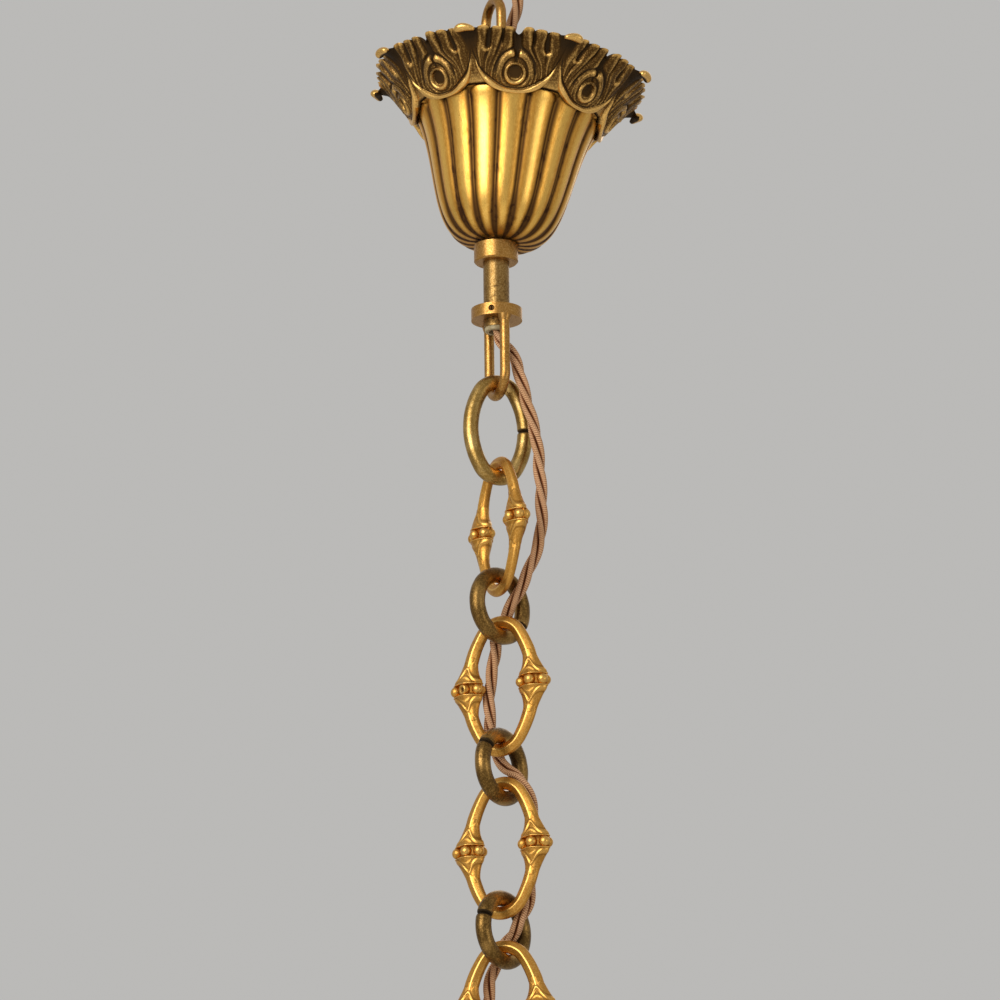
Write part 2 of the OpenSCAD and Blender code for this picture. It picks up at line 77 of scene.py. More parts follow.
# %% [markdown]
# The photograph was taken from far below the canopy with a long lens, so its ellipses are shallow and
# the chain hardly shrinks on its way down. The camera could be placed by eye, but the ellipses and
# the even steps of the chain give it by measure: 0.93 m below the top loop's seat, 2.4 m away and
# tilted up by 16.9 degrees. The chain runs a little to the right down the picture, so the camera is
# rolled by 0.62 degrees, because a chain hangs plumb.

# %% Camera
LENS_PX, HALF_PICTURE_PX = 6585, 500
TILT_UP, ROLL = 16.9, -0.62

lens = bpy.data.cameras.new("camera")
lens.angle = 2 * math.atan(HALF_PICTURE_PX / LENS_PX)
lens.clip_start, lens.clip_end = 0.01, 50
camera = bpy.data.objects.new("camera", lens)
camera.location = (0.0005, -2.4, -0.93)
camera.rotation_mode = "QUATERNION"
tilt = Matrix.Rotation(math.radians(90 + TILT_UP), 3, "X")
roll = Matrix.Rotation(math.radians(ROLL), 3, "Z")
camera.rotation_quaternion = (tilt @ roll).to_quaternion()
scene.collection.objects.link(camera)
scene.camera = camera
print("the lens sees", round(math.degrees(lens.angle), 2), "degrees")

# %% [markdown]
# Most pieces here are cast, bent or spun, and their surface can be written as a formula of two
# numbers. They could be modelled by hand with modifiers, but an array of points follows the formula
# and also says where each recess and each worn edge lies, and where light and shade are painted,
# which the materials need. The arrays are rows along a piece and columns round it.
#
# The first number at the points is 0 on the open surface and 1 deep in a recess, where old lacquer and
# dirt stay dark; on some pieces it also holds painted shade. The second is 1 where hands and cloths
# have rubbed an edge or a high place bright; on some pieces it also holds a painted highlight.

# %% Meshes from arrays
MM = 0.001


def mesh_object(name, points, faces, numbers=None):
    """A smooth mesh object from points in millimetres, with named numbers at its points."""
    mesh = bpy.data.meshes.new(name)
    mesh.from_pydata((np.asarray(points) * MM).tolist(), [], faces)
    mesh.update()
    mesh.polygons.foreach_set("use_smooth", [True] * len(mesh.polygons))
    for key, values in (numbers or {}).items():
        data = mesh.attributes.new(key, "FLOAT", "POINT").data
        data.foreach_set("value", np.ravel(values).astype(np.float32))
    made = bpy.data.objects.new(name, mesh)
    scene.collection.objects.link(made)
    return made


def grid_faces(rows, cols, loop=False):
    """Quads between closed rows of points. loop joins the last row to the first."""
    i = np.arange(rows if loop else rows - 1)[:, None]
    j = np.arange(cols)[None, :]
    this_row, next_row, next_col = i * cols, (i + 1) % rows * cols, (j + 1) % cols
    quads = [this_row + j, this_row + next_col, next_row + next_col, next_row + j]
    return np.stack(quads, -1).reshape(-1, 4).tolist()


def tube_faces(rows, cols):
    """Quads along a tube of closed rows, and one face on each of its ends."""
    first, last = list(range(cols)), list(range((rows - 1) * cols, rows * cols))
    return grid_faces(rows, cols) + [first[::-1], last]


def join(name, parts, keys=("dirt_and_shade", "wear_and_highlight")):
    """One mesh object from several (points, faces, {number: values}) with their numbers kept."""
    points = [np.asarray(p).reshape(-1, 3) for p, _, _ in parts]
    starts = np.cumsum([0] + [len(p) for p in points]).tolist()
    faces = [[v + start for v in face] for (_, f, _), start in zip(parts, starts) for face in f]
    numbers = {key: np.concatenate([np.ravel(values[key]) for _, _, values in parts]) for key in keys}
    return mesh_object(name, np.concatenate(points), faces, numbers)


def finish_piece(piece, body, node, material):
    """The piece takes its material, rides on its body and stands for its CAD node."""
    piece.data.materials.append(material)
    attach(piece, body)
    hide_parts(node)
    print(piece.name, "has", len(piece.data.vertices), "points and rides on", body)


def smooth(x):
    """0 below 0, 1 above 1, and a smooth slope between them."""
    x = np.clip(x, 0, 1)
    return x * x * (3 - 2 * x)


def bump(x):
    """1 at 0, and falling off smoothly to both sides."""
    return np.exp(-x * x)


def turned(points, degrees, centre):
    """Points turned about the vertical through the origin, then moved to centre."""
    a = math.radians(degrees)
    m = np.array([[math.cos(a), math.sin(a), 0], [-math.sin(a), math.cos(a), 0], [0, 0, 1]])
    return np.asarray(points) @ m + np.asarray(centre, float)


def ripple(points, size, seed):
    """A soft random wave, mostly between -1 and 1, over points in millimetres, of about that size."""
    rng = np.random.default_rng(seed)
    total = np.zeros(len(points))
    for _ in range(7):
        way = rng.normal(size=3)
        way /= np.linalg.norm(way)
        wave = 2 * math.pi / (size * rng.uniform(0.6, 1.6))
        total += np.sin(points @ way * wave + rng.uniform(0, 6.28))
    return total / 4


# %% [markdown]
# A finish is a pattern that is worked out at each point of the surface from noise and from the
# numbers at the points. Its nodes could be wired one by one, but then the sum is lost among the
# wires. Num wraps a node's output, so that the arithmetic reads as sums.

# %% Sums made of nodes
class Num:
    """A number that a material works out at each point of the surface."""

    def __init__(self, finish, socket):
        self.finish, self.socket = finish, socket

    def of(self, operation, *others):
        """The result of a Math node on this number and others."""
        sockets = dict(enumerate((self, *others)))
        return Num(self.finish, self.finish.node("ShaderNodeMath", {"operation": operation}, sockets))

    def __add__(self, other):
        return self.of("ADD", other)

    def __sub__(self, other):
        return self.of("SUBTRACT", other)

    def __rsub__(self, other):
        return self.of("MULTIPLY", -1.0).of("ADD", other)

    def __mul__(self, other):
        return self.of("MULTIPLY", other)

    __radd__, __rmul__ = __add__, __mul__

    def sin(self):
        return self.of("SINE")

    def least(self, other):
        return self.of("MINIMUM", other)

    def most(self, other):
        return self.of("MAXIMUM", other)

    def ramp(self, low, high, start=0.0, end=1.0):
        """start below low, end above high, and a smooth slope between them."""
        sockets = {"Value": self, "From Min": low, "From Max": high, "To Min": start, "To Max": end}
        made = self.finish.node("ShaderNodeMapRange", {"interpolation_type": "SMOOTHSTEP"}, sockets, "Result")
        return Num(self.finish, made)


# %% [markdown]
# Finish holds a material while it is made. Every node comes from its one method node, so that a new
# kind of node needs no new code. Colours go through a Mix node, because a Math node would turn them
# grey, and all patterns share coordinates in millimetres, so that a noise of 9 has blots of 9 mm on
# every piece.

# %% A material under way
def linear(code):
    """The linear colour of a hex code, as (r, g, b, 1)."""
    parts = [int(code[k:k + 2], 16) / 255 for k in (0, 2, 4)]
    return (*[c / 12.92 if c <= 0.04045 else ((c + 0.055) / 1.055) ** 2.4 for c in parts], 1.0)


# Places of the colour sockets on a Mix node, whose names also belong to its other sockets
MIX_FIRST, MIX_SECOND, MIX_RESULT = 6, 7, 2


class Finish:
    """A material under way: its nodes, its coordinates in millimetres and its one shader."""

    def __init__(self, name):
        self.material = bpy.data.materials.new(name)
        self.material.use_nodes = True
        self.tree = self.material.node_tree
        self.shader = self.tree.nodes["Principled BSDF"]
        place = self.node("ShaderNodeTexCoord", output="Object")
        self.mm = self.node("ShaderNodeVectorMath", {"operation": "SCALE"}, {0: place, "Scale": 1 / MM})
        print("finish", name)

    def node(self, kind, settings=(), sockets=(), output=0):
        """The output of a new node with those settings, and with values, Nums or links in its sockets."""
        made = self.tree.nodes.new(kind)
        for key, value in dict(settings).items():
            setattr(made, key, value)
        for key, value in dict(sockets).items():
            self.fill(made.inputs[key], value)
        return made.outputs[output]

    def fill(self, place, value):
        """A socket takes a plain value, a Num or another node's output."""
        if isinstance(value, Num):
            value = value.socket
        if isinstance(value, bpy.types.NodeSocket):
            self.tree.links.new(value, place)
        else:
            place.default_value = value

    def set(self, key, value):
        """An input of the shader takes a plain value, a Num or another node's output."""
        self.fill(self.shader.inputs[key], value)

    def number(self, key):
        """The number of that name at the points of the mesh."""
        return Num(self, self.node("ShaderNodeAttribute", {"attribute_name": key}, output="Fac"))

    def noise(self, size, detail, rough=0.55, stretch=None):
        """Noise from 0 to 1 whose blots are about size millimetres across, stretched along the axes."""
        place = self.mm
        if stretch:
            shrink = [1.0 / share for share in stretch]
            place = self.node("ShaderNodeVectorMath", {"operation": "MULTIPLY"}, {0: place, 1: shrink})
        sockets = {"Vector": place, "Scale": 1.0 / size, "Detail": detail, "Roughness": rough}
        return Num(self, self.node("ShaderNodeTexNoise", {}, sockets, "Fac"))

    def cells(self, size):
        """Distance to the nearest of many scattered points, in units of size."""
        sockets = {"Vector": self.mm, "Scale": 1.0 / size}
        return Num(self, self.node("ShaderNodeTexVoronoi", {}, sockets, "Distance"))

    def mix(self, share, first, second):
        """A colour between two, each a hex code or the output of another mix."""
        first, second = [linear(c) if isinstance(c, str) else c for c in (first, second)]
        sockets = {"Factor": share, MIX_FIRST: first, MIX_SECOND: second}
        return self.node("ShaderNodeMix", {"data_type": "RGBA"}, sockets, MIX_RESULT)

    def relief(self, height, depth):
        """Bumps from a Num that runs from 0 to 1, where 1 stands up by depth millimetres."""
        sockets = {"Strength": 1.0, "Distance": depth * MM, "Height": height}
        self.set("Normal", self.node("ShaderNodeBump", {}, sockets, "Normal"))


# %% [markdown]
# All the metal is old brass, brown in its recesses and rubbed yellow on its high places. One picture
# of brass wrapped over it would miss the recesses, so the colours follow the numbers at the points: a
# bright colour where it is rubbed or a highlight is painted, a tarnished one over most of it, and a
# brown patina in the recesses, in blots of noise and where shade is painted. The patina is rougher
# and a little less metallic. Casting grain, pits and fine scratches go into the relief.
#
# Every piece has its own three colours under this one recipe, because the spun bell, the cast links
# and the bent rings have aged differently.

# %% Old brass
# Distance in millimetres between like spots of each pattern
CLOUD, SPECK, SCRATCH, PIT = 9.0, 1.3, 0.5, 2.6


def brass(name, bright, tarnished, patina, blots, rough, grain, pits=0.05, stretch=None):
    """Brass in three colours, with its shares of blots and pits, its roughness and its grain in mm."""
    f = Finish(name)
    dirt_and_shade, wear_and_highlight = f.number("dirt_and_shade"), f.number("wear_and_highlight")
    clouds = f.noise(CLOUD, 4.0, 0.6)
    specks = f.noise(SPECK, 3.0, 0.65, stretch)
    scratches = f.noise(SCRATCH, 2.0, 0.6, stretch)
    # Patina in recesses and blots, together with the painted shade that some pieces carry in the same number
    patina_and_shade = dirt_and_shade.ramp(0.15, 0.85) * 0.95 + (clouds * 0.5 + specks * 0.5).ramp(0.5, 0.68) * blots
    patina_and_shade = (patina_and_shade - wear_and_highlight * 0.35).most(0.0).least(1.0)
    # Rubbed places and scratches, together with the painted highlights that some pieces carry
    rub_and_highlight = (wear_and_highlight * 0.8 + scratches.ramp(0.45, 0.62) * 0.35 - patina_and_shade * 0.5).most(0.0).least(1.0)
    f.set("Base Color", f.mix(patina_and_shade, f.mix(rub_and_highlight, tarnished, bright), patina))
    f.set("Metallic", patina_and_shade.ramp(0.3, 1.0, 1.0, 0.8))
    f.set("Roughness", (patina_and_shade * 0.3 + specks * 0.16 - wear_and_highlight * 0.08 + rough - 0.06).most(0.12).least(0.85))
    f.relief(specks * 0.5 + scratches * 0.25 + f.cells(PIT).ramp(0.05, 0.16) * pits, grain)
    return f.material


bell_brass = brass("bell brass", "ffcc68", "dfa246", "412408", 0.25, 0.35, 0.05, stretch=(1, 1, 5))
crown_brass = brass("crown brass", "ffcb74", "644521", "35250f", 0.3, 0.36, 0.07)
stem_brass = brass("stem brass", "dcb878", "8c6a38", "35271a", 0.8, 0.36, 0.05)
loop_brass = brass("loop brass", "eec27a", "ac7c3c", "3d2913", 0.45, 0.32, 0.05)
long_ring_brass = brass("long ring brass", "e4c07c", "9c7a3e", "43301a", 0.35, 0.32, 0.03, pits=0.3)
ring_bronze = brass("ring bronze", "c89c58", "6a4f27", "2e210e", 0.4, 0.34, 0.03, pits=0.2)
link_brass = brass("link brass", "f6c66e", "c68c3c", "45290d", 0.3, 0.36, 0.04)

# %% [markdown]
# The bushes are buff pressed fibre, the connectors are off-white plastic, and the grub screws are
# browned steel. They are small and plain, so two colours mixed by noise and a fine grain are enough,
# and more layers wouldn't be seen.

# %% Fibre, plastic and steel
def plain(name, pale, dark, roughness, size, depth, metallic=0.0):
    """Two colours in clouds, with grain of that size and depth in millimetres."""
    f = Finish(name)
    cloud = f.noise(size * 6, 3.0)
    grain = f.noise(size, 3.0, 0.7)
    f.set("Base Color", f.mix((cloud * 0.6 + grain * 0.4).ramp(0.35, 0.68), pale, dark))
    f.set("Roughness", grain * 0.2 + (roughness - 0.1))
    f.set("Metallic", metallic)
    f.relief(grain, depth)
    return f.material


fibre = plain("pressed fibre", "b8a883", "8a774f", 0.7, 0.35, 0.05)
plastic = plain("connector plastic", "dddcd4", "bdb9aa", 0.45, 0.5, 0.02)
steel = plain("browned steel", "6a4c2a", "33200f", 0.6, 0.4, 0.03, metallic=1.0)

# %% [markdown]
# Three cores are twisted together, each under a whipped cotton cover: pale pink-brown threads wound
# round the core, with darker thread between them, and orange-brown painted shade in the valley where the
# cores meet.
# The threads could be modelled as fine wire, but they lie 0.8 mm apart, so a wave over two numbers at
# the points draws them and lifts them a little: along is the run in millimetres and around the share
# of the way round the core.

# %% Whipped cotton
THREAD = 0.8


def cotton():
    """Threads wound round a core, with flecks and faded patches, and painted shade in the valley where the
    cores meet.
    """
    f = Finish("whipped cotton")
    along, around, valley = f.number("along"), f.number("around"), f.number("dirt_and_shade")
    rib = ((along * (1 / THREAD) + around) * (2 * math.pi)).sin() * 0.5 + 0.5
    fleck = f.noise(0.5, 2.0, 0.7)
    patch = f.noise(14.0, 2.0)
    cloth = f.mix(rib.ramp(0.05, 0.6), "8e5c3d", "d6a678")
    cloth = f.mix(((fleck - 0.4) * 2.0).ramp(0.2, 0.9) * 0.45, cloth, "e6bc92")
    cloth = f.mix(patch.ramp(0.45, 0.7) * 0.3, cloth, "a2743f")
    # Painted shade in the valley where the cores meet
    f.set("Base Color", f.mix(valley.ramp(0.25, 0.9), cloth, "7a4216"))
    f.set("Roughness", rib * -0.1 + 0.9)
    f.relief(rib * 0.8 + fleck * 0.2, 0.12)
    return f.material


cotton_cover = cotton()

# %% [markdown]
# The flex goes through the top loop, the stem and the lower loop, and then beside each ring and link
# in turn. Its route could be a list of millimetres, but as shares of the piece that it passes the
# points stay where the photograph shows them beside that piece, as in the CAD source.

# %% The stretches that the flex passes
# Play in each seat, and the heights inside the pieces and their widths
SEAT = 0.05
EYE_H, STEM_H, RING_1_H, LINK_H, RING_H = 25, 107, 32, 45, 18
LOOP_W, RING_1_W, LINK_W, RING_W = 16, 28, 28.4, 30
LINK_TURNS = [-62, -30, -30, -18]
PITCH = LINK_H + RING_H - 2 * SEAT
ring_1_top = -(EYE_H + STEM_H + EYE_H) + SEAT
link_1_top = ring_1_top - RING_1_H + SEAT


def ring_top(i):
    """Height of the seat in the top of ring i, from 2."""
    return link_1_top - LINK_H + SEAT - (i - 2) * PITCH


def link_top(i):
    """Height of the seat in the top of link i, from 1."""
    return link_1_top - (i - 1) * PITCH


# Each stretch as its top, height and width
places = [(0, EYE_H, LOOP_W), (-EYE_H, STEM_H, LOOP_W), (-EYE_H - STEM_H, EYE_H, LOOP_W),
          (ring_1_top, RING_1_H, RING_1_W), (link_top(1), LINK_H, LINK_W)]
for i in (2, 3, 4):
    places += [(ring_top(i), RING_H, RING_W), (link_top(i), LINK_H, LINK_W)]

# %% [markdown]
# The points are chosen from the photograph, one for about each centimetre, because the flex
# lies before one ring and behind the next as it happened to fall. No formula would find that.

# %% The points of the route
# Each point as the stretch's number, the shares of its width to the right and to the back, and the
# share of its height downwards
flex_turns = [
    [0, 0.6, -0.06, -0.4], [0, 0.59, -0.06, -0.16], [0, 0.54, -0.06, 0.12], [0, 0.4, -0.05, 0.4],
    [0, 0.2, -0.03, 0.64], [0, 0.05, 0, 0.84],
    [1, 0, 0, 0.01], [1, 0, 0, 0.33], [1, 0, 0, 0.65], [1, 0, 0, 0.9], [1, 0, 0, 0.99],
    [2, 0.08, -0.02, 0.18], [2, 0.29, -0.08, 0.37], [2, 0.45, -0.14, 0.58],
    [3, 0.32, -0.11, -0.11], [3, 0.39, -0.14, 0.16], [3, 0.47, -0.14, 0.44], [3, 0.52, -0.14, 0.65],
    [3, 0.56, -0.13, 1.03],
    [4, 0.57, -0.12, 0.25], [4, 0.57, -0.12, 0.47], [4, 0.53, -0.11, 0.67], [4, 0.43, -0.07, 0.84],
    [5, 0.3, -0.01, 0], [5, 0.2, 0.07, 0.29], [5, 0.12, 0.13, 0.51], [5, 0.03, 0.21, 0.78],
    [5, -0.05, 0.25, 1.09],
    [6, -0.08, 0.27, 0.21], [6, -0.13, 0.28, 0.39], [6, -0.15, 0.28, 0.51], [6, -0.15, 0.27, 0.77],
    [7, -0.11, 0.25, -0.16], [7, -0.05, 0.22, 0.14], [7, 0.06, 0.15, 0.49], [7, 0.21, 0.07, 0.72],
    [7, 0.33, 0.04, 1.08],
    [8, 0.41, 0.06, 0.21], [8, 0.41, 0.12, 0.46], [8, 0.39, 0.13, 0.63], [8, 0.36, 0.05, 0.82],
    [9, 0.31, 0.03, -0.07], [9, 0.22, 0.06, 0.24], [9, 0.13, 0.15, 0.51], [9, 0.02, 0.21, 0.74],
    [9, -0.08, 0.27, 1.06],
    [10, -0.18, 0.32, 0.2], [10, -0.21, 0.35, 0.38], [10, -0.22, 0.4, 0.53], [10, -0.22, 0.42, 0.65],
]
route = np.array([[right * places[k][2], back * places[k][2], places[k][0] - down * places[k][1]]
                  for k, right, back, down in flex_turns])
# Points of the route at which one piece of flex ends and the next begins
cuts = [0, 12, 17, 20, 25, 30, 34, 38, 43, 49]
print("the flex passes", len(places), "stretches in", len(route), "points")

# %% [markdown]
# A curve object could draw the line, but the twist needs the run so far and two directions across the
# line at every step. So the line is worked out here, as a Catmull-Rom curve. Its speed follows the
# spacing of the points, which keeps it from looping where they are close.

# %% A smooth line through the points
def catmull(points, steps):
    """A smooth line through the points, with that many short steps between each two of them."""
    ends = np.vstack([2 * points[0] - points[1], points, 2 * points[-1] - points[-2]])
    line = []
    for i in range(len(points) - 1):
        p = ends[i:i + 4]
        lengths = np.maximum(np.linalg.norm(np.diff(p, axis=0), axis=1), 1e-6) ** 0.5
        t0, t1 = 0.0, lengths[0]
        t2, t3 = t1 + lengths[1], t1 + lengths[1] + lengths[2]
        for t in t1 + (t2 - t1) * np.arange(steps) / steps:
            a = (t1 - t) / (t1 - t0) * p[0] + (t - t0) / (t1 - t0) * p[1]
            b = (t2 - t) / (t2 - t1) * p[1] + (t - t1) / (t2 - t1) * p[2]
            c = (t3 - t) / (t3 - t2) * p[2] + (t - t2) / (t3 - t2) * p[3]
            ab = (t2 - t) / (t2 - t0) * a + (t - t0) / (t2 - t0) * b
            bc = (t3 - t) / (t3 - t1) * b + (t - t1) / (t3 - t1) * c
            line.append((t2 - t) / (t2 - t1) * ab + (t - t1) / (t2 - t1) * bc)
    return np.vstack([line, points[-1:]])


STEPS = 10
line = catmull(route, STEPS)
run = np.concatenate([[0], np.cumsum(np.linalg.norm(np.diff(line, axis=0), axis=1))])
headings = np.gradient(line, axis=0)
headings /= np.linalg.norm(headings, axis=1)[:, None]
# Two directions across the line that don't spin: to the left, and away from the viewer
across = np.cross(headings, [0, 1.0, 0])
across = -across / np.linalg.norm(across, axis=1)[:, None]
back = np.cross(across, headings)
back *= np.sign(back[:, 1])[:, None]
print("the flex is", round(run[-1], 1), "mm long")

# %% [markdown]
# Each core winds round the line once in 39.75 mm. A modifier could twist three straight tubes, but it
# would start afresh on each piece. Here the turn comes from the run along the whole flex, so the
# cores of neighbouring pieces meet. The piece in the stem rides on the stem's body, and the others
# stay fixed where they are.

# %% Three twisted cores
FLEX_D, CORE_D, TWIST = 5.0, 2.2, 39.75
# The first core stands in front at this run, and in front is a quarter turn on from the left
FRONT_RUN, IN_FRONT = 175.5, 0.25
# Inside the stem, out of sight, the cores turn on by this share to stand right above it
TOP_TURN = 0.087
STEP, CORE_SIDES = 0.55, 18


def twisted_cores(name, first, last):
    """The three cores of one stretch of flex, closed at both ends."""
    s = run[first * STEPS:last * STEPS + 1]
    fine = np.arange(s[0], s[-1], STEP)
    # A short last step is joined to the one before it
    fine = np.append(fine[:-1] if s[-1] - fine[-1] < STEP / 2 else fine, s[-1])

    def at(values):
        """Rows of values for the whole flex, taken at the fine steps of this stretch."""
        return np.stack([np.interp(fine, run, values[:, k]) for k in range(3)], -1)

    middle, left, away = at(line), at(across), at(back)
    share = np.arange(CORE_SIDES) / CORE_SIDES
    a = 2 * math.pi * share
    parts = []
    for core in range(3):
        turns = (fine - FRONT_RUN) / TWIST + core / 3 + IN_FRONT + TOP_TURN * smooth((100 - fine) / 60)
        cosine, sine = np.cos(-2 * math.pi * turns)[:, None], np.sin(-2 * math.pi * turns)[:, None]
        out, side = cosine * left + sine * away, cosine * away - sine * left
        section = np.cos(a)[None, :, None] * out[:, None] + np.sin(a)[None, :, None] * side[:, None]
        ring = (middle + out * (FLEX_D - CORE_D) / 2)[:, None] + CORE_D / 2 * section
        # Painted shade on the side of each core that faces the others
        numbers = {"dirt_and_shade": smooth((-np.cos(a) + 0.1) / 0.5), "along": fine[:, None], "around": share}
        numbers = {key: np.broadcast_to(value, ring.shape[:2]) for key, value in numbers.items()}
        parts.append((ring, tube_faces(len(fine), CORE_SIDES), numbers))
    return join(name, parts, ("dirt_and_shade", "along", "around"))


for k in range(9):
    node = "flex_stem" if k == 0 else f"flex_{k}"
    first, last = cuts[k], cuts[k + 1]
    piece = twisted_cores("twisted_" + node, first, last)
    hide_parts(node)
    piece.data.materials.append(cotton_cover)
    if k == 0:
        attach(piece, "stem")
    else:
        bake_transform(piece)

# %% [markdown]
# The canopy stands loose on its collar, so it leans 4.6 degrees to the right and 3 to the back, and
# lies 0.9 mm to the right of the stem. It is drawn upright from its foot, where its formulas are
# simple, and leaning() then moves the points. Turning the object would do as well, but then its
# origin wouldn't be at the top loop's seat, as every solid's is.

# %% The canopy's lean
LEAN_RIGHT, NOD, SHIFT = 4.6, 3.0, 0.9
# Height of the collar's face and radius of its rim, on which the canopy stands
COLLAR_Z, COLLAR_R = -98.5, 8.5
lean = math.hypot(LEAN_RIGHT, NOD)
foot_z = COLLAR_Z + (COLLAR_R - SHIFT * LEAN_RIGHT / lean) * math.sin(math.radians(lean)) + SEAT
to_right = Matrix.Rotation(math.radians(LEAN_RIGHT), 4, "Y")
to_back = Matrix.Rotation(math.radians(-NOD), 4, "X")
LEAN = np.array(Matrix.Translation((SHIFT, 0, foot_z)) @ to_right @ to_back)


def leaning(points):
    """Points of the upright canopy, leant over and set on the collar."""
    points = np.asarray(points, float)
    return points @ LEAN[:3, :3].T + LEAN[:3, 3]


def around_axis(radius, angle, height):
    """Points at a radius, an angle in radians and a height."""
    return np.stack([radius * np.cos(angle), radius * np.sin(angle), height], -1)


def curve(p, t):
    """A cubic curve through p[0] and p[3], drawn towards p[1] and p[2]."""
    return (1 - t) ** 3 * p[0] + 3 * (1 - t) ** 2 * t * p[1] + 3 * (1 - t) * t * t * p[2] + t ** 3 * p[3]


def side_r(t):
    """Radius of the bell at t, which runs from 0 at its foot to 1 at its mouth."""
    return curve([9, 27.5, 25, 35], t)


def side_h(t):
    """Height of the bell at t."""
    return np.maximum(0, curve([0, -0.5, 30, 50], t))


print("the canopy's foot is at", round(foot_z, 2), "mm")

# %% [markdown]
# The bell is spun and then fluted. Eighteen reeds swell out between grooves, and each ends in a round
# arch close under the crown. The grooves could be cut into a lathed body, but as a formula of the
# angle the reeds also say where the patina lies and what is rubbed: the grooves are brown with a fine
# thread along their floor, the reeds' flanks carry patina and painted shade, less of it at the arches,
# the crests are rubbed bright and carry a painted highlight, and the bell darkens towards its foot.

# %% The fluted bell
REEDS, REED_DEPTH, REED_TURN, MOUTH_R = 18, 2.2, 4.2, 35
# Height of the crown's lower edge above the bell's foot, and the arches' height
CROWN_Z, ARCH_H = 48.6, 3.2
# The rows lie closer from the arches on, and the wall runs on behind the crown
ARCH_T, MOUTH_T = 0.9, 1.045
t = np.concatenate([np.linspace(0, ARCH_T, 78), np.linspace(ARCH_T, MOUTH_T, 50)[1:]])[:, None]
angle = np.linspace(0, 360, REEDS * 30, endpoint=False)[None, :]
place = (angle - REED_TURN) * REEDS / 360
across_reed = 2 * np.abs(place - np.floor(place) - 0.5)
arch = np.clip((side_h(t) - CROWN_Z) / ARCH_H, 0, 1)
reach = np.clip(across_reed ** 2.3 + 0.45 * arch ** 2.4, 0, 1)
fall = 1 - np.sqrt(np.maximum(0, 1 - 0.97 * reach))
fall = fall * (1 - smooth((side_h(t) - 51.9) / 0.4))
depth = REED_DEPTH * side_r(t) / MOUTH_R * np.minimum(1, 4 * t)
thread = bump((across_reed - 1) / 0.07) * np.minimum(1, 4 * t) * (1 - smooth(arch / 0.4))
r = side_r(t) - depth * fall + 0.3 * thread
outside = around_axis(r, np.radians(angle), np.broadcast_to(side_h(t), r.shape))
# The flanks carry patina and painted shade, less of it at the arches, and the bell is darker towards its foot
flank = np.clip((across_reed - 0.3) / 0.6, 0, 1) ** 1.6
patina_and_shade = 0.88 * flank * (1 - 0.3 * thread) * (1 - 0.4 * arch) + 0.38 * smooth((16 - side_h(t)) / 14)
# The crests are rubbed and carry a painted highlight
rub_and_highlight = smooth((0.5 - across_reed) / 0.4) * smooth(t / 0.3) * (1 - 0.6 * arch) + 0.15 * thread

# %% [markdown]
# The inside of the wall is plain and brown, and the floor has the hole for the stem. A solidify
# modifier would give a wall of one thickness, but the cast floor is thicker than the wall, so the
# inside has a profile of its own.

# %% The bell's inside
BELL_WALL = 3.6
inner_t = np.linspace(MOUTH_T, 0.36, 26)[:, None]
inner_r = np.broadcast_to(side_r(inner_t) - BELL_WALL, (len(inner_t), angle.size))
inner_z = np.broadcast_to(side_h(inner_t), inner_r.shape)
floor_r = np.array([[side_r(0.3) - 4.7], [side_r(0.2) - 4.7], [6.9], [6.7], [6.7]])
floor_z = np.array([[4.0], [2.5], [2.4], [2.2], [0.0]])
inner_r = np.vstack([inner_r, np.broadcast_to(floor_r, (len(floor_r), angle.size))])
inner_z = np.vstack([inner_z, np.broadcast_to(floor_z, (len(floor_z), angle.size))])
inside = around_axis(inner_r, np.radians(angle), inner_z)
rows = np.vstack([outside, inside])
dirt_and_shade_rows = np.vstack([np.clip(patina_and_shade, 0, 1), np.full(inside.shape[:2], 0.55)])
rub_and_highlight_rows = np.vstack([np.clip(rub_and_highlight, 0, 1), np.zeros(inside.shape[:2])])
faces = grid_faces(len(rows), angle.size, loop=True)
bell = mesh_object("fluted_bell", leaning(rows).reshape(-1, 3), faces, {"dirt_and_shade": dirt_and_shade_rows, "wear_and_highlight": rub_and_highlight_rows})
finish_piece(bell, "canopy", "canopy_bell", bell_brass)

# %% [markdown]
# The crown is cast. Eight palmettes stand side by side on a flare, each inside a bright crescent.
# Such relief is usually sculpted by hand. Here it is a height over the flare, because the same sums
# then place the dirt, the shine, and the painted light and shade. p runs from -1 to 1 across a
# palmette, and u from 0 at the crown's lower edge to 1 at its rim.

# %% The crown's flare
PALMETTES, FLARE, CROWN_H, TALL, TURN = 8, 15.0, 20.0, 24.9, -86.3
FOOT_R, SHOULDER = 35.55, 1.1
RIM_R = FOOT_R + SHOULDER + FLARE
EYE_U = 0.285


def leaf_edge(q):
    """u on the outer edge of the crescent, at q from 0 in its middle to 1 at its horns."""
    return 0.33 * q ** 2.4 + 0.25 * q ** 12


def lower_edge(p):
    """u on the crown's scalloped lower edge."""
    return np.minimum(0.95 * leaf_edge(np.abs(p)), 0.155)


def crown_surface(p, u):
    """Radius and height of the bare flare."""
    shoulder = SHOULDER * smooth(4 * (u - lower_edge(p)))
    return FOOT_R + shoulder + FLARE * (0.75 * u + 0.25 * u * u), CROWN_H * (u - 0.1 * u ** 5) / 0.9


# %% [markdown]
# Fine ribs lie round the palmette's eye like the skins of an onion and open above it into three lobes
# on each side, which end in the scalloped rim. Three leaves on a side lie in circles below the eye,
# and above it they lean over to the cleft in the middle. The ribs are cosines over the share of the
# way across the leaves, made a little wavy and uneven, because a hand-made pattern is never
# quite regular.

